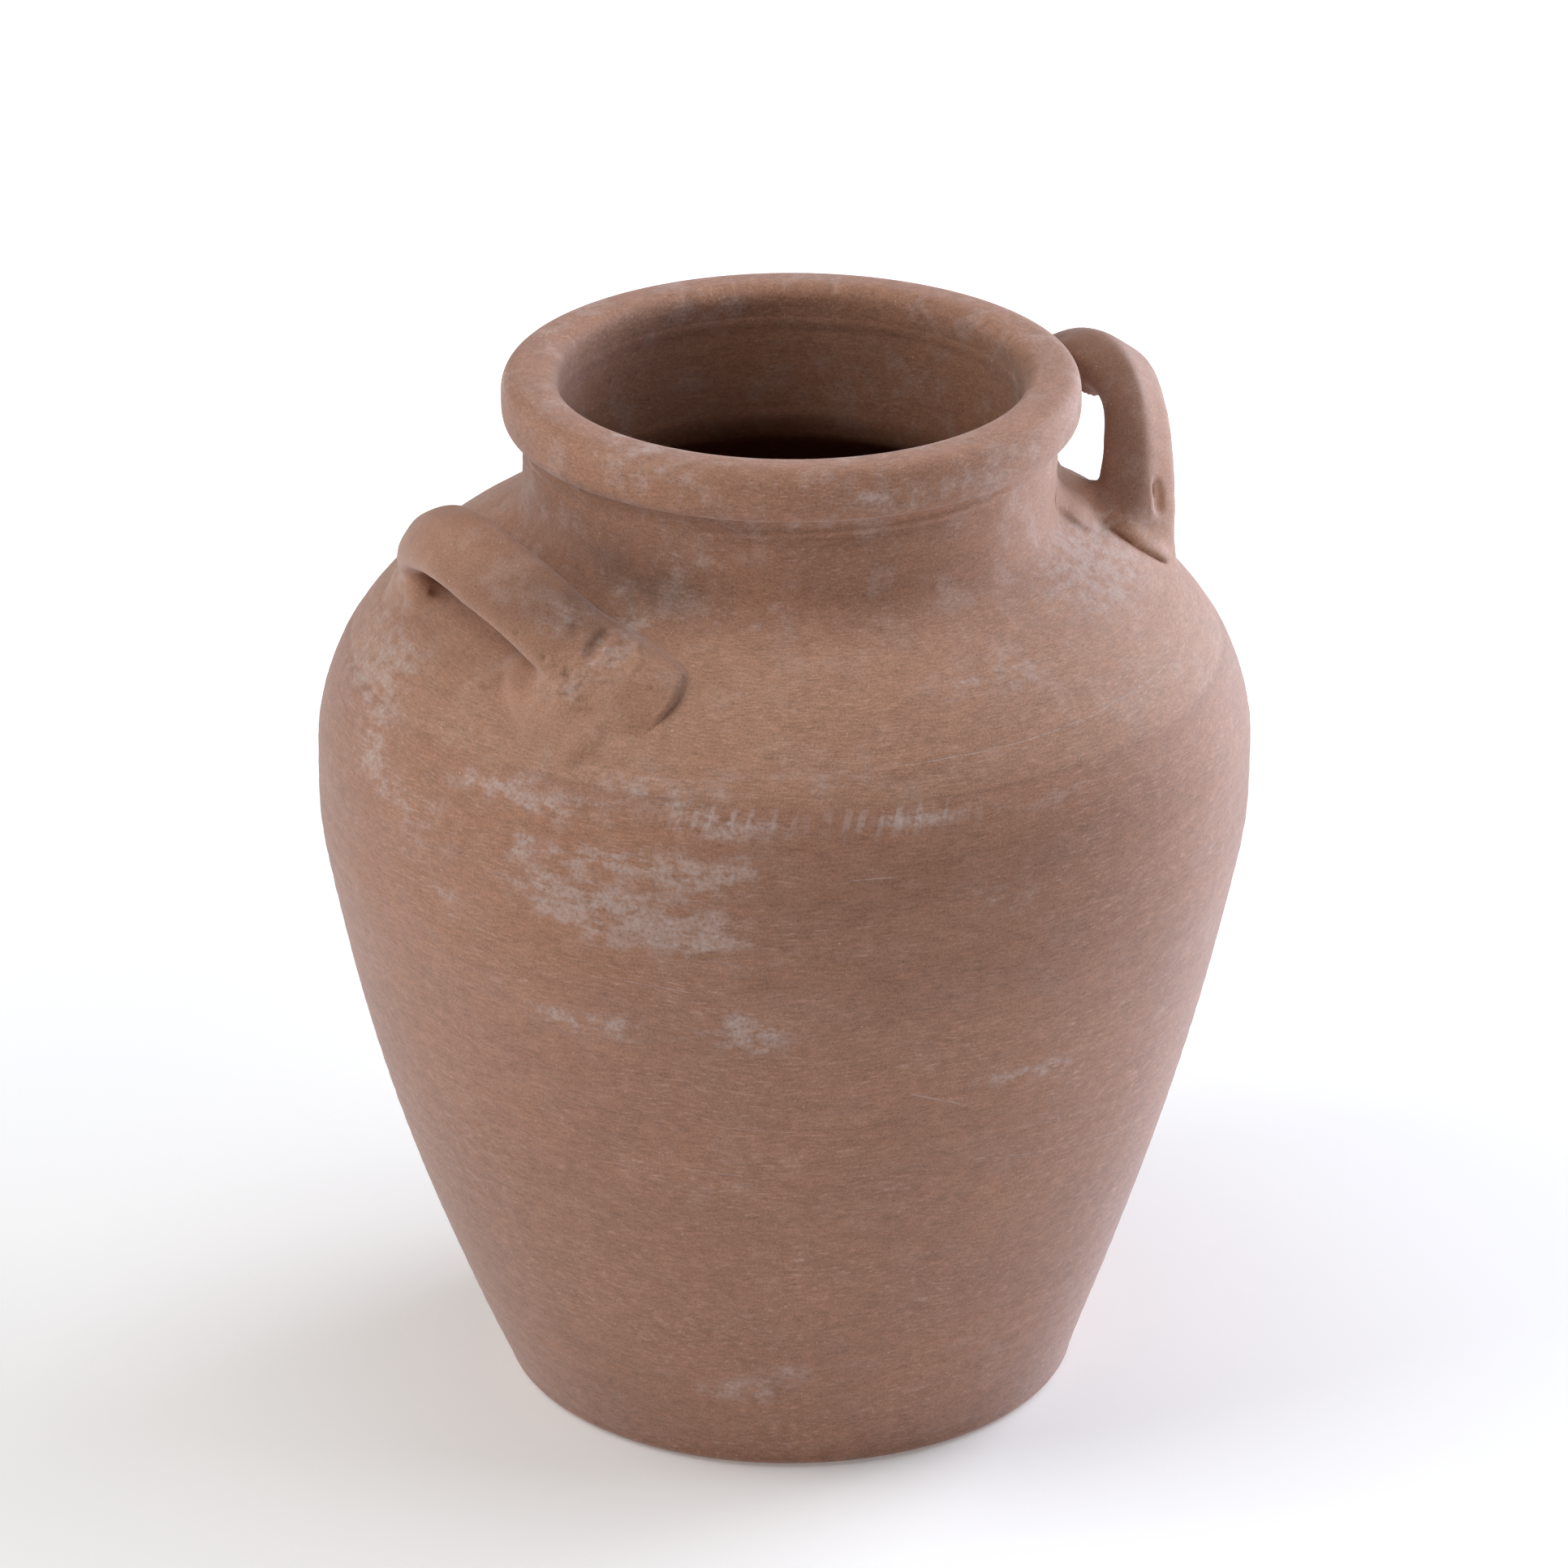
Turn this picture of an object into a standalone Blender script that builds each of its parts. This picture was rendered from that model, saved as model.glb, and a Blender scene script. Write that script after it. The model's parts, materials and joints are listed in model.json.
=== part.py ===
"""Two-handled terracotta storage jar, modelled in the sections a potter makes it from.

Frame: metres, +Z up, origin at the centre of the foot on the ground. The handles stand on -X and +X,
and "front" means the -Y side. The turned sections are profiles spun about Z. They seat on each other
with a ridge in a groove. Each handle is a flat strap whose ends sit in shallow seats in the shoulder,
with a pad of clay wiped round each end.
"""
import math

import bmesh
import bpy
from mathutils import Matrix, Vector

# Clearance between pieces that touch
GAP = 0.0003
# Facets round the jar, and rows of facets along each stretch of wall
TURNS = 48
LOWER_OUTER_ROWS = 16
LOWER_INNER_ROWS = 9
SHOULDER_OUTER_ROWS = 9
SHOULDER_INNER_ROWS = 7
BISECTIONS = 40
SHARP_ANGLE = 40.0  # edges that turn by more are shaded sharp, degrees

# Outer skin of the body: height and radius at each station
SKIN = (
    (0.0050, 0.1095),
    (0.0450, 0.1246),
    (0.1150, 0.1480),
    (0.1900, 0.1669),
    (0.2350, 0.1746),
    (0.2620, 0.1743),
    (0.2850, 0.1680),
    (0.3050, 0.1558),
    (0.3270, 0.1304),
    (0.3460, 0.0977),
)
WALL = 0.008
FOOT_ROUND = 0.007  # how far the rounded foot edge runs in under the jar
FOOT_STEPS = 4
SEAM_HEIGHT = 0.296  # where the shoulder section is joined to the lower one

# Floor disc, let into a rebate in the foot
FLOOR = 0.010
DISC_RADIUS = 0.0975
REBATE = 0.004
REBATE_HEIGHT = 0.005

# Neck ring and its flared root on the shoulder
SEAT_HEIGHT = 0.341
NECK_RADIUS = 0.0988
NECK_BORE = 0.088
NECK_FLARE_HEIGHT = 0.011
FLARE_STEPS = 4

# Rolled rim: a rounded square section
RIM_RADIUS = 0.0964
RIM_HEIGHT = 0.3906
RIM_HALF_WIDTH = 0.0105
RIM_HALF_HEIGHT = 0.0104
RIM_SQUARENESS = 0.61  # 1 is an ellipse, smaller is squarer
RIM_STEPS = 10  # facets in each half of the section
RIM_SWEEP = 160.0  # degrees of the section in each half, from the top down to the seat on the neck

# Ridge and groove between two sections
RIDGE_WIDTH = 0.004
RIDGE_HEIGHT = 0.003
NECK_SEAT_RIDGE = 0.0970  # radius of the ridge that the neck sits on
RIM_SEAT_RIDGE = 0.0935  # radius of the ridge that the rim sits on

# Handles: a strap bent into a loop that leans out from the shoulder
SEAT_DEPTH = 0.003
ARCH_POINTS = 24
STRAP_EDGE_STEPS = 2
CORE_DEPTH = 0.020  # how far the solid that cuts the seats reaches below the seam
CORE_ROWS = 16
HANDLES = {
    "left_handle": {
        "side": -1,
        "root_radius": 0.108,  # distance of the loop's foot line from the jar's axis
        "root_height": 0.3196,
        "half_span": 0.062,
        "reach": 0.048,  # from the foot line to the top of the loop, in the loop's plane
        "lean": 53.0,  # angle of that plane above the horizontal, degrees
        "strap_width": 0.0290,
        "strap_thickness": 0.0168,
    },
    "right_handle": {
        "side": 1,
        "root_radius": 0.1157,
        "root_height": 0.3177,
        "half_span": 0.0517,
        "reach": 0.064,
        "lean": 65.0,
        "strap_width": 0.0315,
        "strap_thickness": 0.0168,
    },
}
ARCH_POINTEDNESS = 1.15  # 1 is a half ellipse, larger is more pointed

# Pads of clay wiped round the handle ends: place round the jar in degrees, height on the skin, and
# half sizes round the jar, down the slope and out from it
PADS = {
    "left_handle_front_lute": {
        "handle": "left_handle",
        "azimuth": 209.0,
        "height": 0.3240,
        "half_sizes": (0.0310, 0.0220, 0.0088),
    },
    "left_handle_rear_lute": {
        "handle": "left_handle",
        "azimuth": 151.0,
        "height": 0.3245,
        "half_sizes": (0.0280, 0.0215, 0.0085),
    },
    "right_handle_front_lute": {
        "handle": "right_handle",
        "azimuth": -23.0,
        "height": 0.3235,
        "half_sizes": (0.0215, 0.0225, 0.0085),
    },
    "right_handle_rear_lute": {
        "handle": "right_handle",
        "azimuth": 23.0,
        "height": 0.3235,
        "half_sizes": (0.0225, 0.0225, 0.0085),
    },
}
PAD_SEGMENTS = 24
PAD_RINGS = 12

# Fired clay, a little different from section to section
CLAY = {
    "base_disc": (0.36, 0.21, 0.15),
    "lower_wall": (0.42, 0.24, 0.17),
    "shoulder_wall": (0.45, 0.27, 0.19),
    "neck_collar": (0.43, 0.25, 0.18),
    "rim_roll": (0.44, 0.26, 0.19),
    "left_handle": (0.46, 0.27, 0.19),
    "right_handle": (0.45, 0.28, 0.21),
    "left_handle_front_lute": (0.50, 0.32, 0.24),
    "left_handle_rear_lute": (0.48, 0.30, 0.22),
    "right_handle_front_lute": (0.47, 0.30, 0.23),
    "right_handle_rear_lute": (0.46, 0.29, 0.22),
}
CLAY_ROUGHNESS = 0.9


def clear_scene():
    for obj in list(bpy.data.objects):
        bpy.data.objects.remove(obj, do_unlink=True)


def collection(name):
    made = bpy.data.collections.new(name)
    bpy.context.scene.collection.children.link(made)
    return made


def clay_material(name):
    material = bpy.data.materials.new(name + "_clay")
    material.use_nodes = True
    shader = material.node_tree.nodes["Principled BSDF"]
    shader.inputs["Base Color"].default_value = (*CLAY[name], 1.0)
    shader.inputs["Roughness"].default_value = CLAY_ROUGHNESS
    shader.inputs["Metallic"].default_value = 0.0
    material.diffuse_color = (*CLAY[name], 1.0)
    return material


def as_part(obj):
    obj.data.materials.clear()
    obj.data.materials.append(clay_material(obj.name))
    obj.data.shade_smooth()
    obj.data.set_sharp_from_angle(angle=math.radians(SHARP_ANGLE))
    return obj


def as_cutter(obj):
    obj.hide_render = True
    obj.display_type = "WIRE"
    return obj


# ---- the skin curve ----

def skin_slopes():
    """Slope of the radius at each station, from the chords on its two sides."""
    chords = []
    for (low, inner), (high, outer) in zip(SKIN, SKIN[1:]):
        chords.append((high - low, (outer - inner) / (high - low)))
    slopes = []
    for (length_a, chord_a), (length_b, chord_b) in zip(chords, chords[1:]):
        slopes.append((chord_a * length_b + chord_b * length_a) / (length_a + length_b))
    first = 1.5 * chords[0][1] - 0.5 * slopes[0]
    last = 1.5 * chords[-1][1] - 0.5 * slopes[-1]
    return [first, *slopes, last]


SLOPES = skin_slopes()


def skin(height):
    """Radius and slope of the outer skin at a height, by cubic curves between the stations."""
    index = 0
    while index < len(SKIN) - 2 and height > SKIN[index + 1][0]:
        index += 1
    low, start = SKIN[index]
    high, end = SKIN[index + 1]
    span = high - low
    t = (height - low) / span
    lead = SLOPES[index] * span
    trail = SLOPES[index + 1] * span
    radius = (
        start * (2 * t**3 - 3 * t**2 + 1)
        + lead * (t**3 - 2 * t**2 + t)
        + end * (3 * t**2 - 2 * t**3)
        + trail * (t**3 - t**2)
    )
    slope = (
        start * (6 * t**2 - 6 * t)
        + lead * (3 * t**2 - 4 * t + 1)
        + end * (6 * t - 6 * t**2)
        + trail * (3 * t**2 - 2 * t)
    ) / span
    return radius, slope


def on_skin(height, out=0.0):
    """Profile point (radius, height) that stands off the skin by a distance."""
    radius, slope = skin(height)
    length = math.hypot(1.0, slope)
    return (radius + out / length, height - out * slope / length)


def stretch(top, bottom, count, out=0.0):
    """Profile points along the skin, evenly spaced in height."""
    points = []
    for step in range(count + 1):
        points.append(on_skin(top + (bottom - top) * step / count, out))
    return points


def inner_height_at(level):
    """Height of the station whose inner skin point lies at a level, by halving the stretch it is in."""
    low = level - WALL
    high = level + 1.5 * WALL
    for _ in range(BISECTIONS):
        middle = (low + high) / 2
        if on_skin(middle, -WALL)[1] < level:
            low = middle
        else:
            high = middle
    return low


# ---- turned sections ----

def turned(name, profile, into, closed=True):
    """Spin a profile about Z. It runs down the outer side, then up the inner side or the axis."""
    mesh = bpy.data.meshes.new(name)
    edges = [(i, i + 1) for i in range(len(profile) - 1)]
    if closed:
        edges.append((len(profile) - 1, 0))
    mesh.from_pydata([(radius, 0.0, height) for radius, height in profile], edges, [])
    obj = bpy.data.objects.new(name, mesh)
    into.objects.link(obj)
    screw = obj.modifiers.new("Turn", "SCREW")
    screw.axis = "Z"
    screw.angle = 2 * math.pi
    screw.steps = TURNS
    screw.render_steps = TURNS
    screw.use_merge_vertices = True
    screw.merge_threshold = 0.00001
    screw.use_smooth_shade = True
    return obj


def made_mesh(obj, into):
    """Replace an object by a mesh of its evaluated shape, welded."""
    graph = bpy.context.evaluated_depsgraph_get()
    mesh = bpy.data.meshes.new_from_object(obj.evaluated_get(graph))
    name = obj.name
    place = obj.matrix_world.copy()
    bpy.data.objects.remove(obj, do_unlink=True)
    cage = bmesh.new()
    cage.from_mesh(mesh)
    bmesh.ops.remove_doubles(cage, verts=cage.verts, dist=0.00001)
    bmesh.ops.recalc_face_normals(cage, faces=cage.faces)
    cage.to_mesh(mesh)
    cage.free()
    mesh.name = name
    made = bpy.data.objects.new(name, mesh)
    made.matrix_world = place
    into.objects.link(made)
    return made


def seam_ridge(height, grow):
    """Ridge along the middle of the wall at the seam, or its groove when it grows by the gap."""
    half = RIDGE_WIDTH / 2 + grow
    tip = height + RIDGE_HEIGHT
    return [
        on_skin(height, -WALL / 2 + half),
        on_skin(tip, -WALL / 2 + half),
        on_skin(tip, -WALL / 2 - half),
        on_skin(height, -WALL / 2 - half),
    ]


def flat_ridge(radius, base, grow):
    """The same ridge on a level seat, centred on a radius."""
    half = RIDGE_WIDTH / 2 + grow
    tip = base + RIDGE_HEIGHT
    return [(radius + half, base), (radius + half, tip), (radius - half, tip), (radius - half, base)]


def foot_round():
    """Rounded foot edge, from the first station down to the ground."""
    height, radius = SKIN[0]
    points = []
    for step in range(1, FOOT_STEPS + 1):
        angle = math.radians(90 * step / FOOT_STEPS)
        points.append((radius - FOOT_ROUND * (1 - math.cos(angle)), height * (1 - math.sin(angle))))
    return points


def base_disc(into):
    rim = DISC_RADIUS + REBATE
    profile = [
        (0.0, FLOOR),
        (rim, FLOOR),
        (rim, REBATE_HEIGHT),
        (DISC_RADIUS, REBATE_HEIGHT),
        (DISC_RADIUS, 0.0),
        (0.0, 0.0),
    ]
    return as_part(turned("base_disc", profile, into, closed=False))


def lower_wall(into):
    foot = SKIN[0][0]
    rebate = DISC_RADIUS + REBATE + GAP
    floor_line = inner_height_at(FLOOR)
    profile = seam_ridge(SEAM_HEIGHT, 0.0)[::-1][2:]
    profile += stretch(SEAM_HEIGHT, foot, LOWER_OUTER_ROWS) + foot_round()
    profile += [
        (DISC_RADIUS + GAP, 0.0),
        (DISC_RADIUS + GAP, REBATE_HEIGHT - GAP),
        (rebate, REBATE_HEIGHT - GAP),
    ]
    profile += stretch(floor_line, SEAM_HEIGHT, LOWER_INNER_ROWS, -WALL)
    profile += seam_ridge(SEAM_HEIGHT, 0.0)[::-1][:2]
    return as_part(turned("lower_wall", profile, into))


def shoulder_wall(into):
    """Left unfinished: the handle seats are still to be cut in it."""
    seam = SEAM_HEIGHT + GAP
    ridge = flat_ridge(NECK_SEAT_RIDGE, SEAT_HEIGHT, 0.0)[::-1]
    profile = ridge[2:] + stretch(SEAT_HEIGHT, seam, SHOULDER_OUTER_ROWS)
    profile += seam_ridge(seam, GAP)
    profile += stretch(seam, inner_height_at(SEAT_HEIGHT), SHOULDER_INNER_ROWS, -WALL)
    profile += ridge[:2]
    return turned("shoulder_wall", profile, into)


def neck_flare(base):
    """Hollow curve from the neck's side out to the shoulder, as a quadratic curve."""
    foot = Vector(on_skin(base))
    slope = skin(base)[1]
    corner = Vector((NECK_RADIUS, base + (NECK_RADIUS - foot.x) / slope))
    top = Vector((NECK_RADIUS, base + NECK_FLARE_HEIGHT))
    points = []
    for step in range(FLARE_STEPS + 1):
        t = step / FLARE_STEPS
        point = top * (1 - t) ** 2 + corner * 2 * t * (1 - t) + foot * t**2
        points.append((point.x, point.y))
    return points


def neck_collar(into):
    top = RIM_HEIGHT - RIM_HALF_HEIGHT - GAP
    base = SEAT_HEIGHT + GAP
    edge = on_skin(inner_height_at(SEAT_HEIGHT), -WALL)[0]
    ridge = flat_ridge(RIM_SEAT_RIDGE, top, 0.0)[::-1]
    profile = ridge[2:] + [(NECK_RADIUS, top)] + neck_flare(base)
    profile += flat_ridge(NECK_SEAT_RIDGE, base, GAP)
    profile += [(edge, base), (NECK_BORE, base + NECK_FLARE_HEIGHT / 2), (NECK_BORE, top)]
    profile += ridge[:2]
    return as_part(turned("neck_collar", profile, into))


def signed_power(value, exponent):
    return math.copysign(abs(value) ** exponent, value)


def rim_point(angle):
    """Point on the rim's rounded square section."""
    return (
        RIM_RADIUS + RIM_HALF_WIDTH * signed_power(math.cos(angle), RIM_SQUARENESS),
        RIM_HEIGHT + RIM_HALF_HEIGHT * signed_power(math.sin(angle), RIM_SQUARENESS),
    )


def rim_roll(into):
    """Two halves of the section, outer downward then inner upward, with the groove between them."""
    half = [math.radians(90 - RIM_SWEEP * step / RIM_STEPS) for step in range(RIM_STEPS + 1)]
    profile = [rim_point(angle) for angle in half]
    profile += flat_ridge(RIM_SEAT_RIDGE, RIM_HEIGHT - RIM_HALF_HEIGHT, GAP)
    profile += [rim_point(math.pi - angle) for angle in half[:0:-1]]
    return as_part(turned("rim_roll", profile, into))


# ---- handles ----

def strap(name, shape, into, grow=0.0):
    """Strap along the loop. The loop is drawn in its own plane and leaned into place."""
    curve = bpy.data.curves.new(name, "CURVE")
    curve.dimensions = "3D"
    curve.twist_mode = "Z_UP"
    curve.bevel_depth = shape["strap_thickness"] / 2 + grow
    curve.extrude = (shape["strap_width"] - shape["strap_thickness"]) / 2
    curve.bevel_resolution = STRAP_EDGE_STEPS
    curve.use_fill_caps = True
    spline = curve.splines.new("POLY")
    spline.points.add(ARCH_POINTS - 1)
    for index, point in enumerate(spline.points):
        angle = math.pi * index / (ARCH_POINTS - 1)
        across = shape["half_span"] * signed_power(math.cos(angle), ARCH_POINTEDNESS)
        rise = shape["reach"] * signed_power(math.sin(angle), ARCH_POINTEDNESS)
        point.co = (across, rise, 0.0, 1.0)
    obj = bpy.data.objects.new(name, curve)
    lean = math.radians(shape["lean"])
    along = Vector((0.0, shape["side"], 0.0))
    up = Vector((shape["side"] * math.cos(lean), 0.0, math.sin(lean)))
    turn = Matrix((along, up, along.cross(up))).transposed()
    obj.location = (shape["side"] * shape["root_radius"], 0.0, shape["root_height"])
    obj.rotation_euler = turn.to_euler()
    into.objects.link(obj)
    bpy.context.view_layer.update()
    return made_mesh(obj, into)


def body_core(name, out, into):
    """Solid jar shape whose skin stands off by a distance, to cut what lies inside it."""
    side = stretch(SKIN[-1][0], SEAM_HEIGHT - CORE_DEPTH, CORE_ROWS, out)
    profile = [(0.0, side[0][1]), *side, (0.0, side[-1][1])]
    return as_cutter(turned(name, profile, into, closed=False))


def cut(obj, tool):
    boolean = obj.modifiers.new("Cut " + tool.name, "BOOLEAN")
    boolean.operation = "DIFFERENCE"
    boolean.object = tool
    boolean.solver = "EXACT"


def pad(name, shape, into):
    """Low mound of clay on the shoulder: a flattened ball that stands along the slope."""
    angle = math.radians(shape["azimuth"])
    radius, slope = skin(shape["height"])
    outward = Vector((math.cos(angle), math.sin(angle), 0.0))
    normal = (outward - Vector((0.0, 0.0, slope))).normalized()
    around = Vector((-math.sin(angle), math.cos(angle), 0.0))
    turn = Matrix((around, normal.cross(around), normal)).transposed()
    bpy.ops.mesh.primitive_uv_sphere_add(segments=PAD_SEGMENTS, ring_count=PAD_RINGS, radius=1.0)
    obj = bpy.context.active_object
    for holder in list(obj.users_collection):
        holder.objects.unlink(obj)
    into.objects.link(obj)
    obj.name = name
    obj.data.name = name
    obj.data.transform(Matrix.Diagonal((*shape["half_sizes"], 1.0)))
    obj.location = outward * radius + Vector((0.0, 0.0, shape["height"]))
    obj.rotation_euler = turn.to_euler()
    return obj


def fit_handles(jar, cutters, shoulder):
    """Make the handles and let them into the shoulder. Returns the room that each one needs."""
    seat_floor = body_core("seat_floor", -SEAT_DEPTH, cutters)
    socket_floor = body_core("socket_floor", -SEAT_DEPTH - GAP, cutters)
    room = {}
    for name, shape in HANDLES.items():
        handle = strap(name, shape, jar)
        cut(handle, seat_floor)
        as_part(handle)
        socket = as_cutter(strap(name + "_socket", shape, cutters, GAP))
        cut(socket, socket_floor)
        cut(shoulder, socket)
        room[name] = as_cutter(strap(name + "_room", shape, cutters, GAP))
    return room


def fit_pads(jar, cutters, room):
    """Lay the pads on the shoulder, cut to fit it and the handles."""
    skin_cut = body_core("skin_cut", GAP, cutters)
    for name, shape in PADS.items():
        mound = pad(name, shape, jar)
        cut(mound, skin_cut)
        cut(mound, room[shape["handle"]])
        as_part(mound)


def build():
    clear_scene()
    jar = collection("amphora")
    cutters = collection("cutters")
    base_disc(jar)
    lower_wall(jar)
    shoulder = shoulder_wall(jar)
    neck_collar(jar)
    rim_roll(jar)
    fit_pads(jar, cutters, fit_handles(jar, cutters, shoulder))
    as_part(shoulder)


build()
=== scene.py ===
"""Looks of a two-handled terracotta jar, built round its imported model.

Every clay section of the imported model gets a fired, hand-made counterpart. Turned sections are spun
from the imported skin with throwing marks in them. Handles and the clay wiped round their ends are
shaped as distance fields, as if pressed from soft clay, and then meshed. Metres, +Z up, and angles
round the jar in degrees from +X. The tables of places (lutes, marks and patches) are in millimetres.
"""

import json
import math

import bmesh
import bpy
import numpy as np
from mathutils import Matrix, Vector
from mathutils.bvhtree import BVHTree


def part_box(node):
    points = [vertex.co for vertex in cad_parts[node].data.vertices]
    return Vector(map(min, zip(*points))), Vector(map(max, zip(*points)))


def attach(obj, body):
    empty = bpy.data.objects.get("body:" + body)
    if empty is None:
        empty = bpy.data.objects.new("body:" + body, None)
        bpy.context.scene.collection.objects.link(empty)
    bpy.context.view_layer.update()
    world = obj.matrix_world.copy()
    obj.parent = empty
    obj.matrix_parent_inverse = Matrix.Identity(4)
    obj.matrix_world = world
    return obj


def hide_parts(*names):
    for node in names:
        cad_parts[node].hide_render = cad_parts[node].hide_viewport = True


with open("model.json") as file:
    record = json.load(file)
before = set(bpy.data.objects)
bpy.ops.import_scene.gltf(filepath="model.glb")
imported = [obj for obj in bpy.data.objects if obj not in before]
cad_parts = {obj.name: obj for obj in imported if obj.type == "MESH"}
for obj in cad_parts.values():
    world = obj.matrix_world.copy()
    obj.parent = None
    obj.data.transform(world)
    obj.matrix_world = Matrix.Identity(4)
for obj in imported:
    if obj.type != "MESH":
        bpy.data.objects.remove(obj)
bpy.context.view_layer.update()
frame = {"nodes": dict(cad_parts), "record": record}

# ---- sizes ----

MM = 0.001
SEAM_HEIGHT = 0.296  # where the shoulder section joins the lower one
SEAT_HEIGHT = 0.341  # where the neck ring stands on the shoulder
FOOT_EDGE = 0.005  # the skin starts here, above the rounded foot edge
FOOT_ROUND = 0.007
WALL = 0.008
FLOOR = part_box("base_disc")[1].z
FLOOR_LIP = 0.004  # how far the floor slab reaches over its seat
FLOOR_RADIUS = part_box("base_disc")[1].x - FLOOR_LIP
NECK_RADIUS = 0.0988
NECK_BORE = 0.0863
NECK_BLEND = 0.013  # how softly the neck runs out onto the shoulder
THICKER_FROM = 0.250  # the shoulder's wall thickens from this height up, as if its inside lay lower
THICKER_OVER = 0.060
THICKER_BY = 0.005
RIM_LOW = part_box("rim_roll")[0].z
RIM_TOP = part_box("rim_roll")[1].z
RIM_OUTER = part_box("rim_roll")[1].x
RIM_HALF_WIDTH = 0.0105
RIM_HALF_HEIGHT = (RIM_TOP - RIM_LOW) / 2
RIM_RADIUS = RIM_OUTER - RIM_HALF_WIDTH  # to the middle of the roll
RIM_HEIGHT = (RIM_TOP + RIM_LOW) / 2
RIM_SQUARENESS = 0.61
NECK_INNER_TOP = RIM_HEIGHT - 0.0018  # the neck's bore runs up the roll's inner face to here
NECK_DIVE = 0.0002  # and then dives this far under it
BELLY_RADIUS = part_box("lower_wall")[1].x
RELIEF_ROOM = 0.0004  # left at the belly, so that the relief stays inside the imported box

COLUMNS = 360  # round the jar
ROW = 0.0018  # between rows down the outer skin
INNER_ROW = 0.004
EDGE_SHARE = 0.06  # of a row, from an edge to its hairline row
THROWING_RING = 0.0087  # between the rings left by the potter's fingers
FINE_RING = 0.0041
INSIDE_RING = 0.0105
FINE_INSIDE_RING = 0.0049

# A hand-thrown jar isn't quite upright: how far it leans, by height, and which way
LEAN = ((0.000, 0.0020), (0.012, 0.0012), (0.050, 0.0), (0.270, 0.0), (0.335, 0.0009),
        (0.370, 0.0018), (0.401, 0.0024))
LEAN_DIRECTION = (0.857, -0.515)

# Handles: a strap bent into a loop that leans out from the shoulder (front is -Y)
HANDLES = {
    "left_handle": dict(side=-1, root_radius=0.1080, root_height=0.3196, half_span=0.0620, reach=0.0479,
                        lean=53.0, pointed=1.20, half_width=0.0150, half_thick=0.0085, tilt=-3.0,
                        sway=0.0, flare=0.10, top_flare=0.0, ridge=0.0006, ridge_width=0.35,
                        ridge_at=-0.10, pinch=0.0, sag=0.0),
    "right_handle": dict(side=1, root_radius=0.1157, root_height=0.3177, half_span=0.0517, reach=0.0639,
                         lean=65.0, pointed=1.16, half_width=0.0146, half_thick=0.0078, tilt=8.0,
                         sway=0.0032, flare=0.42, top_flare=0.24, ridge=0.0030, ridge_width=0.50,
                         ridge_at=-0.30, pinch=0.28, sag=1.00),
}
ARCH_STEPS = 48
FOOT_RUN = 0.012  # how far a strap's feet run on past their roots
EMBED = 0.006  # how deep handles and lutes reach into the wall
TRIM_BLEND = 0.002  # and how softly they end there

# Where a strap's section changes, and how far to each side, in degrees along its loop
FLARE_REACH = 24.0
TOP_FLARE_AT = 95.0
TOP_FLARE_REACH = 34.0
PINCH_AT = 62.0
PINCH_REACH = 16.0
SAG_AT = 90.0
SAG_REACH = 15.0

# Fields are worked out on grids, fine ones only near the surface
POINTS_AT_ONCE = 400000
COARSEST = 4  # the first grid's spacing, in steps of the last one
HANDLE_STEP = 0.0010
LUTE_STEP = 0.0009
HANDLE_MARGIN = 0.012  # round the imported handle's box
LUTE_MARGIN = 0.004

# ---- curves and small fields ----


def through(stations):
    """Smooth curve through (place, value) stations, run on straight past the ends."""
    places = np.array([s[0] for s in stations], float)
    values = np.array([s[1] for s in stations], float)
    chords = np.diff(values) / np.diff(places)
    spans = np.diff(places)
    inner = (chords[:-1] * spans[1:] + chords[1:] * spans[:-1]) / (spans[:-1] + spans[1:])
    slopes = np.concatenate(([chords[0]], inner, [chords[-1]]))

    def curve(place):
        place = np.asarray(place, float)
        index = np.clip(np.searchsorted(places, place) - 1, 0, len(places) - 2)
        span = spans[index]
        t = np.clip((place - places[index]) / span, 0.0, 1.0)
        inside = (
            values[index] * (2 * t**3 - 3 * t**2 + 1)
            + slopes[index] * span * (t**3 - 2 * t**2 + t)
            + values[index + 1] * (3 * t**2 - 2 * t**3)
            + slopes[index + 1] * span * (t**3 - t**2)
        )
        below = np.minimum(place - places[0], 0.0) * slopes[0]
        above = np.maximum(place - places[-1], 0.0) * slopes[-1]
        return inside + below + above

    return curve


def smooth_max(a, b, blend):
    near = np.maximum(blend - np.abs(a - b), 0.0) / blend
    return np.maximum(a, b) + near * near * blend / 4


def smooth_min(a, b, blend):
    return -smooth_max(-a, -b, blend)


def bell(distance, width):
    return np.exp(-((distance / width) ** 2))


def signed_power(value, exponent):
    return np.copysign(np.abs(value) ** exponent, value)


def angle_of(points):
    return np.degrees(np.arctan2(points[:, 1], points[:, 0]))


def turn_between(angle, other):
    """Shortest way from one angle to another, degrees."""
    return (np.asarray(angle) - other + 180.0) % 360.0 - 180.0


def swell(points, wavelength, seed):
    """Soft uneven swelling from -1 to 1, made of waves that run in fixed directions."""
    total = np.zeros(len(points))
    for k in range(5):
        a = seed * 1.7 + k * 2.39
        b = seed * 0.9 + k * 1.13
        way = np.array([math.cos(a) * math.cos(b), math.sin(a) * math.cos(b), math.sin(b)])
        total += np.sin(points @ way * (2 * math.pi / (wavelength * (0.7 + 0.16 * k))) + seed + k * 1.9)
    return total / 3.2


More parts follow.
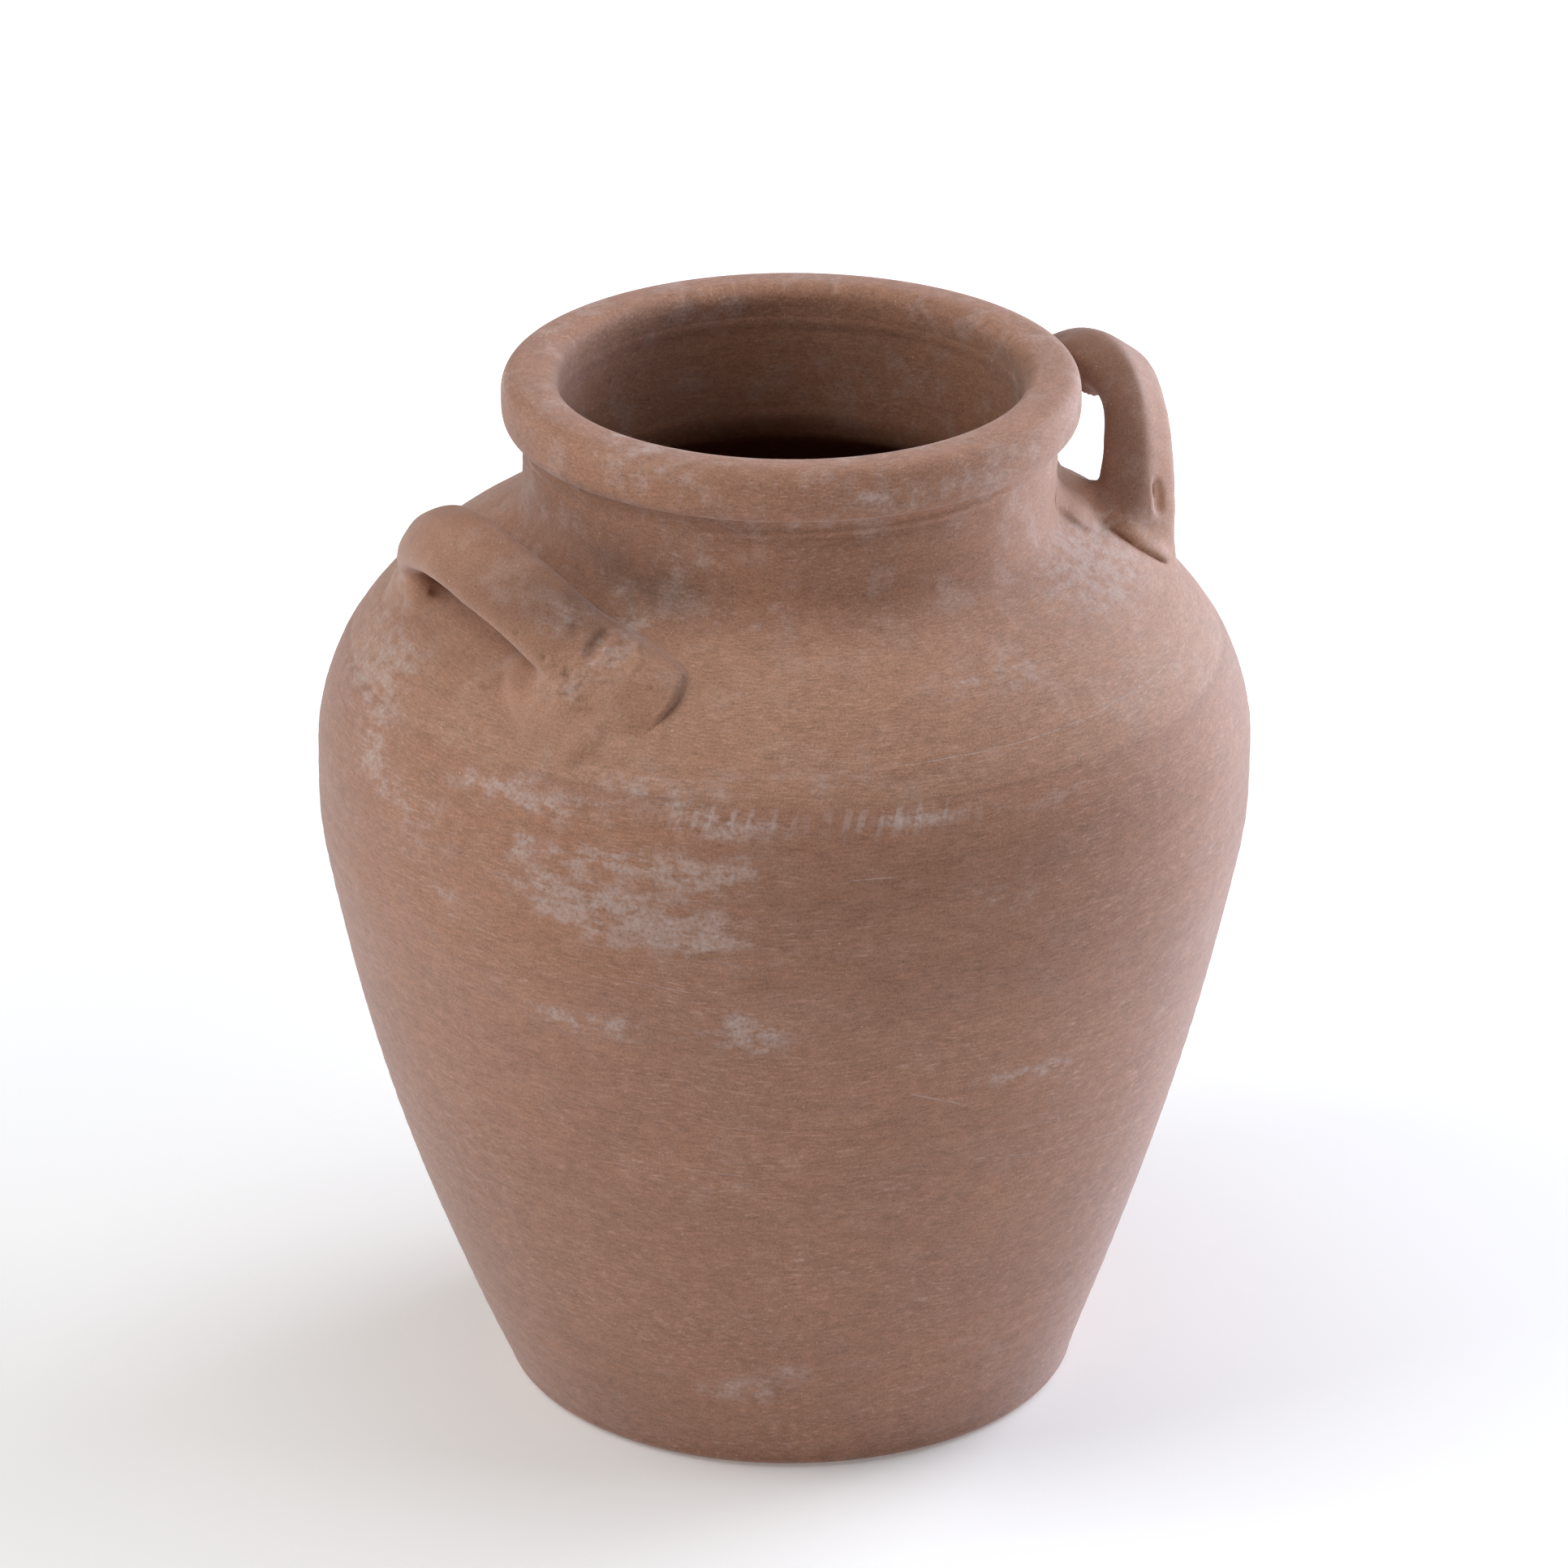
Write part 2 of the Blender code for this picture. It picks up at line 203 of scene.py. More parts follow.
# ---- the jar's skin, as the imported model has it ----


def skin_stations():
    """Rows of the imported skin, as (height, radius), where a ray from outside meets a row of corners."""
    found = {}
    for node, low, high in (
        ("lower_wall", FOOT_EDGE, SEAM_HEIGHT),
        ("shoulder_wall", SEAM_HEIGHT, SEAT_HEIGHT),
    ):
        mesh = frame["nodes"][node].data
        tree = BVHTree.FromPolygons([v.co for v in mesh.vertices], [p.vertices for p in mesh.polygons])
        for vertex in mesh.vertices:
            x, y, z = vertex.co
            if x < 0.0 or abs(y) > 1e-5 or not low - 1e-5 < z < high + 1e-5:
                continue
            hit = tree.ray_cast(Vector((1.0, 1e-4, z - 1e-4)), Vector((-1.0, 0.0, 0.0)))[0]
            if hit is not None and abs(hit.x - x) < 4e-4:
                found[round(z, 4)] = x
    rows = sorted(found.items())
    return [row for row, after in zip(rows, rows[1:] + [(9.0, 0.0)]) if after[0] - row[0] > 0.002]


skin = through(skin_stations())
lean = through(LEAN)


def outer_radius(height):
    """Radius of the skin, with the neck growing out of the shoulder."""
    body = smooth_min(skin(height), BELLY_RADIUS - RELIEF_ROOM, 0.0006)
    return smooth_max(body, np.full_like(body, NECK_RADIUS), NECK_BLEND)


def outer_slope(height):
    step = 0.0005
    return (outer_radius(height + step) - outer_radius(height - step)) / (2 * step)


def seam_line(angle):
    """Height of the seam, which wanders a little round the jar."""
    a = np.radians(angle)
    return SEAM_HEIGHT + 0.0009 * np.sin(a * 2 + 0.7) + 0.0005 * np.sin(a * 5 + 2.0)


def relief(angle, height):
    """How far the outer skin stands off the true turned shape: wobble, throwing rings and the seam."""
    a = np.radians(angle)
    out = 0.00022 * np.cos(2 * a + 0.6) * np.sin(height * 9)
    out += 0.00016 * np.cos(3 * a + 2.1 + height * 14)
    out += 0.00010 * np.cos(5 * a + 0.4 - height * 23)
    fade = 0.6 + 0.4 * np.sin(height * 61 + 1.3 * np.sin(a))
    out += 0.00010 * fade * np.sin(2 * math.pi * height / THROWING_RING + 0.8 * np.sin(a + 1.1))
    out += 0.00006 * np.sin(2 * math.pi * height / FINE_RING + 1.3 * np.sin(a * 2))
    past_seam = height - seam_line(angle)
    out += 0.00018 * np.tanh(-past_seam / 0.0016) * bell(past_seam, 0.020)
    out -= 0.00022 * bell(past_seam, 0.0011)
    return out


def skin_radius(angle, height):
    return outer_radius(height) + relief(angle, height)


def lean_shift(height):
    shift = lean(height)
    return shift * LEAN_DIRECTION[0], shift * LEAN_DIRECTION[1]


# ---- meshes ----


def add_object(name, data):
    thing = bpy.data.objects.new(name, data)
    bpy.context.scene.collection.objects.link(thing)
    return thing


def rework(mesh, weld=False):
    """Turn the faces outwards, after joining corners that coincide if asked."""
    cage = bmesh.new()
    cage.from_mesh(mesh)
    if weld:
        bmesh.ops.remove_doubles(cage, verts=cage.verts, dist=1e-6)
    bmesh.ops.recalc_face_normals(cage, faces=cage.faces)
    cage.to_mesh(mesh)
    cage.free()


def finish_mesh(name, corners, faces):
    mesh = bpy.data.meshes.new(name)
    mesh.from_pydata(corners, [], faces)
    rework(mesh)
    mesh.shade_smooth()
    mesh.set_sharp_from_angle(angle=math.radians(50))
    return add_object(name, mesh)


def turned(name, outline, surface):
    """Spin an outline of (radius, height) about the axis.

    surface(angle, radius, height) gives the worked radius.
    """
    angles = np.arange(COLUMNS) * (360.0 / COLUMNS)
    radii = np.array([p[0] for p in outline])
    heights = np.array([p[1] for p in outline])
    grid_angle = np.repeat(angles[None, :], len(outline), axis=0)
    grid_height = np.repeat(heights[:, None], COLUMNS, axis=1)
    grid_radius = surface(grid_angle, np.repeat(radii[:, None], COLUMNS, axis=1), grid_height)
    shift_x, shift_y = lean_shift(grid_height)
    x = grid_radius * np.cos(np.radians(grid_angle)) + shift_x
    y = grid_radius * np.sin(np.radians(grid_angle)) + shift_y
    corners = np.stack([x, y, grid_height], axis=-1).reshape(-1, 3)
    faces = []
    rows = len(outline)
    poles = radii[0] == 0.0
    for row in range(rows - 1 if poles else rows):
        low = row * COLUMNS
        high = ((row + 1) % rows) * COLUMNS
        for column in range(COLUMNS):
            after = (column + 1) % COLUMNS
            faces.append((low + column, low + after, high + after, high + column))
    piece = finish_mesh(name, corners.tolist(), faces)
    if poles:
        rework(piece.data, weld=True)
    return piece


def down(top, bottom, step):
    """Heights in even steps, with a hairline row at both ends to keep the shading true."""
    heights = np.linspace(top, bottom, max(2, int(round(abs(top - bottom) / step)) + 1))
    hairline = (heights[1] - heights[0]) * EDGE_SHARE
    first = heights[:1]
    last = heights[-1:]
    return np.concatenate([first, first + hairline, heights[1:-1], last - hairline, last])


def inner_radius(height):
    """Inner face. Under the shoulder the wall thickens, so the neck's bore runs further down."""
    slope = outer_slope(height)
    rise = np.clip((height - THICKER_FROM) / THICKER_OVER, 0.0, 1.0)
    body = skin(height + THICKER_BY * rise * rise * (3 - 2 * rise)) - WALL * np.sqrt(1 + slope**2)
    return smooth_max(body, np.full_like(body, NECK_BORE), NECK_BLEND)


def finger_rings(angle, height):
    """Ridges that fingers left inside, rising in a spiral."""
    a = np.radians(angle)
    towards_neck = np.clip((SEAT_HEIGHT + 0.01 - height) / 0.06, 0.15, 1.0)
    size = (0.00009 + 0.00005 * np.sin(height * 37 + 1.0)) * towards_neck
    fine = size * 0.4 * np.sin(2 * math.pi * height / FINE_INSIDE_RING + 2 * a)
    return size * np.sin(2 * math.pi * height / INSIDE_RING - a) + fine


def split_surface(inner_from):
    """Outer relief up to a place in the outline, finger rings from there on."""

    def surface(angle, radius, height):
        moved = radius.copy()
        moved[:inner_from] += relief(angle[:inner_from], height[:inner_from])
        moved[inner_from:] += finger_rings(angle[inner_from:], height[inner_from:])
        return moved

    return surface


def lower_wall():
    """Foot to seam, up the inside too."""
    skin_heights = down(SEAM_HEIGHT, FOOT_EDGE, ROW)
    outline = list(zip(outer_radius(skin_heights), skin_heights))
    foot_radius = outline[-1][0]
    for step in range(1, 9):
        t = math.radians(90 * step / 8)
        outline.append((foot_radius - FOOT_ROUND * (1 - math.cos(t)), FOOT_EDGE * (1 - math.sin(t))))
    turn_in = len(outline)
    outline += [(FLOOR_RADIUS, 0.0), (FLOOR_RADIUS, FLOOR * 0.5)]
    inner_heights = down(FLOOR * 0.5, SEAM_HEIGHT, INNER_ROW)
    outline += list(zip(inner_radius(inner_heights), inner_heights))
    return turned("fired_lower_wall", outline, split_surface(turn_in))


def shoulder_wall():
    skin_heights = down(SEAT_HEIGHT, SEAM_HEIGHT, ROW / 2)
    inner_heights = down(SEAM_HEIGHT, SEAT_HEIGHT, INNER_ROW / 2)
    outline = list(zip(outer_radius(skin_heights), skin_heights))
    turn_in = len(outline)
    outline += list(zip(inner_radius(inner_heights), inner_heights))
    return turned("fired_shoulder_wall", outline, split_surface(turn_in))


def neck_band(angle, height):
    """Clay smeared up under the rim, and a thin tool ridge just below it."""
    a = np.radians(angle)
    below = RIM_LOW - height
    smear = 0.0011 * bell(below, 0.0018)
    drift = 0.0052 + 0.0008 * np.sin(a * 2 + 1.0) + 0.0004 * np.sin(a * 7)
    ridge = 0.00042 * bell(below - drift, 0.0010) * (0.7 + 0.3 * np.sin(a * 3 + 0.5))
    groove = -0.00035 * bell(below - drift - 0.0021, 0.0010)
    return smear + ridge + groove


def roll_face(height):
    """Radius of the inner face of the rim's roll."""
    lift = np.clip(np.abs(height - RIM_HEIGHT) / RIM_HALF_HEIGHT, 0.0, 1.0)
    sine = lift ** (1 / RIM_SQUARENESS)
    return RIM_RADIUS - RIM_HALF_WIDTH * np.sqrt(1 - sine**2) ** RIM_SQUARENESS


def roll_unevenness(angle, height):
    a = np.radians(angle)
    return 0.00022 * np.cos(2 * a + 1.0) + 0.00014 * np.cos(5 * a + height * 300) - 0.0002


def neck_collar():
    """Short neck. Its bore runs on up the rim's inner face, so that no edge shows in the mouth."""
    skin_heights = down(RIM_LOW + 0.004, SEAT_HEIGHT, ROW / 3)
    inner_heights = down(SEAT_HEIGHT, NECK_INNER_TOP, INNER_ROW / 4)
    outline = list(zip(outer_radius(skin_heights), skin_heights))
    turn_in = len(outline)
    outline += list(zip(inner_radius(inner_heights), inner_heights))
    plain = split_surface(turn_in)

    def surface(angle, radius, height):
        moved = plain(angle, radius, height)
        moved[:turn_in] += neck_band(angle[:turn_in], height[:turn_in])
        bore_height = height[turn_in:]
        face = roll_face(bore_height) - roll_unevenness(angle[turn_in:], bore_height)
        dive = NECK_DIVE * np.clip((bore_height - NECK_INNER_TOP) / 0.0020 + 1.0, 0.0, 1.0)
        moved[turn_in:] = smooth_min(moved[turn_in:], face, 0.0012) + dive
        return moved

    return turned("fired_neck_collar", outline, surface)


def rim_roll():
    """Rounded square section, pressed a little uneven by hand."""
    outline = []
    for t in np.radians(np.arange(90.0, -270.0, -5.0)):
        outline.append((
            RIM_RADIUS + RIM_HALF_WIDTH * signed_power(math.cos(t), RIM_SQUARENESS),
            RIM_HEIGHT + RIM_HALF_HEIGHT * signed_power(math.sin(t), RIM_SQUARENESS),
        ))

    def surface(angle, radius, height):
        return radius + roll_unevenness(angle, height) * (radius - RIM_RADIUS) / RIM_HALF_WIDTH

    return turned("fired_rim_roll", outline, surface)


def base_disc():
    """Floor slab: finger spiral on top, sanded flat underneath."""
    top = [(r, FLOOR) for r in np.linspace(0.0, FLOOR_RADIUS + FLOOR_LIP, 34)]
    under = [(r, 0.0) for r in np.linspace(FLOOR_RADIUS, 0.0, 26)]
    outline = top + [(FLOOR_RADIUS + FLOOR_LIP, FLOOR / 2), (FLOOR_RADIUS, FLOOR / 2)] + under

    def surface(angle, radius, height):
        return radius

    piece = turned("fired_base_disc", outline, surface)
    for vertex in piece.data.vertices:
        x, y, z = vertex.co
        reach = math.hypot(x, y)
        if z > FLOOR * 0.9 and reach < FLOOR_RADIUS - FLOOR_LIP:
            turn = math.atan2(y, x)
            vertex.co.z -= 0.0006 + 0.0006 * math.sin(2 * math.pi * reach / 0.014 - turn)
    return piece


# ---- handles ----


class Sweep:
    """A bent bar of clay: centre line, section axes and section sizes at each of its stations."""

    def __init__(self, line, wide, thick, along):
        self.line = line
        self.wide = wide
        self.thick = thick
        self.along = along

    def place(self, points):
        """Each point's offsets across the width, the thickness and past an end, and how far along."""
        if len(points) > POINTS_AT_ONCE:
            halves = np.array_split(points, 2)
            return [np.concatenate(pair) for pair in zip(*(self.place(half) for half in halves))]
        gaps = (self.line**2).sum(axis=1) - 2.0 * points @ self.line.T
        nearest = np.argmin(gaps, axis=1)
        best = np.full(len(points), np.inf)
        found = np.zeros((4, len(points)))
        for first in (nearest - 1, nearest):
            i = np.clip(first, 0, len(self.line) - 2)
            run = self.line[i + 1] - self.line[i]
            length = np.linalg.norm(run, axis=1)
            offset = points - self.line[i]
            t = np.clip((offset * run).sum(axis=1) / length**2, 0.0, 1.0)
            offset = offset - t[:, None] * run
            away = (offset * offset).sum(axis=1)
            wide = self.wide[i] + t[:, None] * (self.wide[i + 1] - self.wide[i])
            thick = self.thick[i] + t[:, None] * (self.thick[i + 1] - self.thick[i])
            past = np.abs((offset * run).sum(axis=1) / length)
            along = self.along[i] + t * (self.along[i + 1] - self.along[i])
            here = np.stack([(offset * wide).sum(axis=1), (offset * thick).sum(axis=1), past, along])
            found = np.where(away < best, here, found)
            best = np.minimum(best, away)
        return found


class Strap(Sweep):
    """A handle: a strap bent into a loop, with both feet inside the jar's wall."""

    def __init__(self, shape):
        self.shape = shape
        side = shape["side"]
        tilt = math.radians(shape["lean"])
        along = np.array([0.0, 1.0, 0.0])
        up = np.array([side * math.cos(tilt), 0.0, math.sin(tilt)])
        root = np.array([side * shape["root_radius"], 0.0, shape["root_height"]])
        angle = np.linspace(0.0, math.pi, ARCH_STEPS + 1)
        across = -shape["half_span"] * signed_power(np.cos(angle), shape["pointed"])
        rise = shape["reach"] * np.abs(np.sin(angle)) ** shape["pointed"]
        across = across + shape["sway"] * np.sin(angle) ** 2
        line = root + across[:, None] * along + rise[:, None] * up
        line = np.vstack([line[0] - up * FOOT_RUN, line, line[-1] - up * FOOT_RUN])
        angles = np.concatenate([[0.0], np.degrees(angle), [180.0]])
        run = np.gradient(line, axis=0)
        run /= np.linalg.norm(run, axis=1)[:, None]
        flat = np.cross(along, up)
        flat = flat * np.sign(flat[0] * side)
        thick = np.cross(run, flat)
        thick *= np.sign(thick[len(thick) // 2] @ up)
        turn = math.radians(shape["tilt"]) * side
        wide = flat * math.cos(turn) + thick * math.sin(turn)
        super().__init__(line, wide, thick * math.cos(turn) - flat * math.sin(turn), angles)

    def point(self, angle, width, thick):
        """Point at an angle along the loop, with offsets as shares of the half width and thickness."""
        at = np.interp(angle, self.along[1:-1], np.arange(1, len(self.along) - 1))
        i = min(int(at), len(self.line) - 2)
        t = at - i
        centre = self.line[i] * (1 - t) + self.line[i + 1] * t
        wide = self.wide[i] * self.shape["half_width"] * width
        deep = self.thick[i] * self.shape["half_thick"] * thick
        return centre + wide + deep

    def distance(self, points):
        """Distance to the strap's surface, less than zero inside."""
        width, thick, _, angle = self.place(points)
        shape = self.shape
        spread = 1.0 + shape["flare"] * (bell(angle, FLARE_REACH) + bell(angle - 180.0, FLARE_REACH))
        spread = spread + shape["top_flare"] * bell(angle - TOP_FLARE_AT, TOP_FLARE_REACH)
        pinched = 1.0 - shape["pinch"] * bell(angle - PINCH_AT, PINCH_REACH) * (width < 0)
        half_width = shape["half_width"] * spread * pinched
        sagged = 1.0 + shape["sag"] * bell(angle - SAG_AT, SAG_REACH) * (thick < 0)
        half_thick = shape["half_thick"] * (1.0 + 0.05 * np.sin(np.radians(angle * 3 + 40))) * sagged
        crest = bell(width - shape["ridge_at"] * half_width, shape["ridge_width"] * half_width)
        half_thick = half_thick + shape["ridge"] * crest * (thick > 0)
        k0 = np.hypot(width / half_width, thick / half_thick)
        k1 = np.hypot(width / half_width**2, thick / half_thick**2)
        return k0 * (k0 - 1.0) / np.maximum(k1, 1.0)


def skin_distance(points):
    """Distance to the jar's outer skin, less than zero inside."""
    shift_x, shift_y = lean_shift(points[:, 2])
    x = points[:, 0] - shift_x
    y = points[:, 1] - shift_y
    angle = np.degrees(np.arctan2(y, x))
    height = points[:, 2]
    return (np.hypot(x, y) - skin_radius(angle, height)) / np.sqrt(1 + outer_slope(height) ** 2)


def skin_axes(angle, height):
    """Directions round the jar, down the slope and off the skin, at a place in the tables."""
    a = math.radians(angle)
    outward = np.array([math.cos(a), math.sin(a), 0.0])
    around = np.array([-math.sin(a), math.cos(a), 0.0])
    slope = float(outer_slope(np.array([height * MM]))[0])
    normal = (outward - np.array([0.0, 0.0, slope])) / math.hypot(1.0, slope)
    return around, np.cross(around, normal), normal


def skin_point(angle, height, out=0.0):
    """Point on the skin, or a distance off it, for a place in the tables."""
    z = height * MM
    radius = float(skin_radius(np.array([angle]), np.array([z]))[0])
    a = math.radians(angle)
    shift_x, shift_y = lean_shift(z)
    foot = np.array([radius * math.cos(a) + shift_x, radius * math.sin(a) + shift_y, z])
    return foot + skin_axes(angle, height)[2] * out * MM


def polyline_distance(points, line):
    best = np.full(len(points), np.inf)
    for a, b in zip(line, line[1:]):
        run = b - a
        t = np.clip((points - a) @ run / max(run @ run, 1e-12), 0.0, 1.0)
        best = np.minimum(best, np.linalg.norm(points - a - t[:, None] * run, axis=1))
    return best


straps = {name: Strap(shape) for name, shape in HANDLES.items()}


class Bar(Sweep):
    """A bar of clay lying along the skin.

    Its stations are degrees round, height, distance off the skin, half width and half thickness.
    """

    STEPS = 24
    CAP = 0.004

    def __init__(self, stations):
        rows = []
        for angle, height, out, half_width, half_thick in stations:
            _, downhill, normal = skin_axes(angle, height)
            middle = skin_point(angle, height, out)
            sizes = (half_width * MM, half_thick * MM)
            rows.append(np.concatenate([middle, downhill, normal, sizes]))
        rows = np.array(rows)
        steps = np.linalg.norm(np.diff(rows[:, :3], axis=0), axis=1)
        places = np.concatenate([[0.0], np.cumsum(steps)])
        along = np.linspace(0.0, places[-1], self.STEPS)
        fine = np.stack([through(list(zip(places, column)))(along) for column in rows.T], axis=1)
        self.half_width = fine[:, 9]
        self.half_thick = fine[:, 10]
        super().__init__(fine[:, :3], fine[:, 3:6], fine[:, 6:9], along)

    def distance(self, points):
        width, thick, past, along = self.place(points)
        half_width = np.interp(along, self.along, self.half_width)
        half_thick = np.interp(along, self.along, self.half_thick)
        parts = (width / half_width, thick / half_thick, past / self.CAP)
        slopes = (parts[0] / half_width, parts[1] / half_thick, parts[2] / self.CAP)
        k0 = np.sqrt(sum(part**2 for part in parts))
        k1 = np.sqrt(sum(slope**2 for slope in slopes))
        return k0 * (k0 - 1.0) / np.maximum(k1, 1.0)


# Clay wiped round the handle ends: bars (see Bar), lumps (see lump_distance), and how softly it all runs
# into the skin, by angle round the jar
LUTES = {
    "left_handle_front_lute": dict(
        handle="left_handle", angle=210.0, height=325,
        bars=(
            (
                (195.0, 324.8, -0.4, 5, 3),
                (198.8, 319.6, 0.4, 7, 3.4),
                (203.8, 314.3, 0.2, 8, 3.4),
                (210.5, 310.4, -0.8, 7, 2.8),
            ),
        ),
        lumps=(
            dict(at=(212.3, 326.8, 1.2), sizes=(24.5, 15.8, 8.2), turn=18, tilt=6, square=3.2),
            dict(at=(206.5, 328.8, 5), sizes=(15, 13.5, 8), turn=22, tilt=10, square=2.4),
            dict(at=(204.0, 321.2, 1), sizes=(14, 10.5, 6.2), turn=38),
        ),
        blend=((196.0, 4.6), (206.0, 6.4), (216.0, 6), (222.0, 2)),
    ),
    "left_handle_rear_lute": dict(
        handle="left_handle", angle=154.0, height=323.5,
        lumps=(
            dict(at=(161.5, 323.5, 1), sizes=(9, 8.5, 8.5)),
            dict(at=(151.0, 325.5, 0.0), sizes=(15, 14, 5.5)),
        ),
        blend=((150.0, 11), (163.0, 5)),
    ),
    "right_handle_front_lute": dict(
        handle="right_handle", angle=-22.0, height=327,
        lumps=(
            dict(at=(-14.0, 336, 0.0), sizes=(12, 10, 4.5)),
            dict(at=(-20.5, 335, 2), sizes=(11, 9, 6.5)),
            dict(at=(-25.0, 342, 0.0), sizes=(20, 13, 4.2)),
            dict(at=(-20.6, 326.2, 0.0), sizes=(18.5, 16, 6), square=2.5),
        ),
        blend=((-25.0, 1.4), (-17.0, 13)),
        soft_above=337,
    ),
    "right_handle_rear_lute": dict(
        handle="right_handle", angle=24.0, height=327,
        lumps=(dict(at=(23.0, 325, 0.0), sizes=(17, 17, 4.5)),),
        blend=((14.0, 9), (26.0, 6)),
    ),
}


# Presses, folds and cracks in the soft clay. Each is a line of places, its half width and its depth (it
# stands proud when less than zero). A place is on a handle (angle along the loop, then offsets as shares
# of the half width and half thickness) or on the skin (degrees round, height, distance off the skin)
HANDLE_MARKS = {
    "left_handle": (),
    "right_handle": (
        (((28.5, 0.20, 1.00), (22.8, 0.34, 0.98)), 3, 1.4),
        (((30.0, -0.10, 1.10), (25.5, -0.06, 1.20), (21.0, 0.10, 1.10)), 1.8, -0.6),
        (((28.5, 0.10, 1.00), (25.5, 0.15, 0.95)), 0.8, 1.2),
        (((41.5, -0.47, 1.00), (39.5, -0.23, 1.05)), 0.6, 0.7),
        (((41.2, -0.26, 1.05), (39.6, -0.43, 1.00)), 0.5, 0.6),
        (((14.8, -0.32, 1.05), (13.2, -0.26, 1.05)), 0.6, 0.8),
        (((11.2, 0.05, 1.05), (9.6, 0.14, 1.05)), 0.6, 1),
        (((24.8, -0.92, 0.60), (23.6, -0.58, 0.90), (19.0, -0.45, 1.00)), 1, -0.6),
        (((17.0, -0.15, 1.05),), 5, 0.8),
    ),
}
SKIN_MARKS = {
    "left_handle": (
        (((208.8, 331.2, 11.8), (208.3, 329.3, 10.8), (208.5, 326.8, 11.6)), 2.7, 2.4),
        (((212.4, 328.7, 10.1),), 4.6, 0.8),
        (((209.8, 325.5, 10.8), (212.0, 324, 9.8), (214.9, 324.7, 8.9),
          (215.7, 328.5, 8.2), (213.6, 332.5, 7.8)), 1.2, -0.9),
        (((217.5, 319.7, 3.8),), 7.4, 1.4),
        (((211.5, 322.9, 8.9), (214.6, 324.2, 8.5), (218.1, 324, 6.5)), 1.3, -1),
        (((205.7, 321.7, 9.9), (206.6, 320.6, 8.5)), 1, 1.4),
        (((207.7, 319.8, 7.3),), 1.2, 0.9),
        (((202.1, 323, 13.7),), 1.4, 1),
        (((197.7, 324.7, 20.8),), 1.2, 0.8),
        (((204.6, 330, 16.8), (205.6, 329.2, 16)), 1.6, 1),
        (((211.5, 333.4, 8.8), (215.2, 331.8, 6.9), (219.0, 328.4, 6.6)), 0.6, -0.5),
        (((222.8, 328.2, 1.5), (222.7, 324.8, 1.3), (222.5, 323.1, 0.8),
          (221.6, 320.1, 0.6), (220.8, 316.7, 0.5), (219.4, 312.5, 0.3)), 1.1, 2.4),
        (((221.9, 325.5, 4.1), (221.4, 321.4, 3), (220.3, 318.6, 2.2)), 0.9, -0.8),
        (((163.8, 324, 2.2), (165.6, 326.2, 2)), 2, 1.2),
    ),
    "right_handle": (
        (((-27.9, 333.5, 0.0), (-29.3, 327.5, 0.0), (-28.7, 323.3, 0.0), (-25.9, 316, 0.0)),
         0.9, 1.5),
    ),
}


# Crumbly places: degrees round, height and distance off the skin, and reach
CRUMBLY = {
    "left_handle": (((212.4, 328.7, 10.1), 6), ((206.5, 320.5, 8), 9)),
    "right_handle": (),
}


def marks(name):
    """A handle's marks as (line of points, half width, depth)."""
    found = []
    for table, locate in ((HANDLE_MARKS, straps[name].point), (SKIN_MARKS, skin_point)):
        for line, width, depth in table[name]:
            found.append(([locate(*place) for place in line], width * MM, depth * MM))
    return found


def squeezed(points, field):
    """Add the swelling of clay squeezed by hand."""
    return field + 0.00022 * swell(points, 0.031, 2.0) + 0.00010 * swell(points, 0.011, 5.0)


def marked(points, field, name):
    """Add a handle's marks, and the crumbly patch by its thumb press."""
    for line, width, depth in marks(name):
        if len(line) == 1:
            away = np.linalg.norm(points - line[0], axis=1)
        else:
            away = polyline_distance(points, line)
        field = field + depth * np.exp(-np.abs(away / width) ** 3)
    for place, reach in CRUMBLY[name]:
        near = bell(np.linalg.norm(points - skin_point(*place), axis=1), reach * MM)
        crumbs = 0.00050 * swell(points, 0.0040, 3.0) + 0.00030 * swell(points, 0.0021, 7.0)
        field = field + near * crumbs
    return field


def handle_field(name):
    strap = straps[name]

    def field(points):
        clay = marked(points, squeezed(points, strap.distance(points)), name)
        return smooth_max(clay, -EMBED - skin_distance(points), TRIM_BLEND)

    return field


def lump_distance(points, at, sizes, turn=0.0, tilt=0.0, square=2.0):
    """Distance to a flattened ball or slab of clay on the skin.

    at is (degrees round, height, distance off the skin) and sizes are half sizes. The slab is turned
    about the skin's normal towards downhill, then its forward end is tilted into the skin. square is how
    square its outline is: 2 is an ellipse.
    """
    around, downhill, normal = skin_axes(at[0], at[1])
    t = math.radians(turn)
    forward = around * math.cos(t) + downhill * math.sin(t)
    sideways = downhill * math.cos(t) - around * math.sin(t)
    dip = math.radians(tilt)
    ahead = forward * math.cos(dip) - normal * math.sin(dip)
    upward = normal * math.cos(dip) + forward * math.sin(dip)
    sizes = [size * MM for size in sizes]
    offset = points - skin_point(*at)
    a, b, c = (offset @ axis / size for axis, size in zip((ahead, sideways, upward), sizes))
    flat = np.maximum((np.abs(a) ** square + np.abs(b) ** square) ** (1.0 / square), 1e-6)
    k = np.maximum(np.hypot(flat, c), 1e-6)
    lean_in = flat / k
    steep_a = lean_in * (np.abs(a) / flat) ** (square - 1.0) / sizes[0]
    steep_b = lean_in * (np.abs(b) / flat) ** (square - 1.0) / sizes[1]
    steep_c = np.abs(c) / k / sizes[2]
    return (k - 1.0) / np.sqrt(steep_a**2 + steep_b**2 + steep_c**2)


SINK = 0.00006  # a lute dives this far under what it is wiped onto, so that no edge shows
LUTE_REACH = 0.052  # how far round its handle's root a lute may spread
CLAY_BLEND = 0.004  # how softly lumps, bars and handle run into each other
SOFTER = 0.008  # how much more softly a lute runs into the skin above its soft_above height
ABOVE_ALL = 999.0  # soft_above for a lute without one


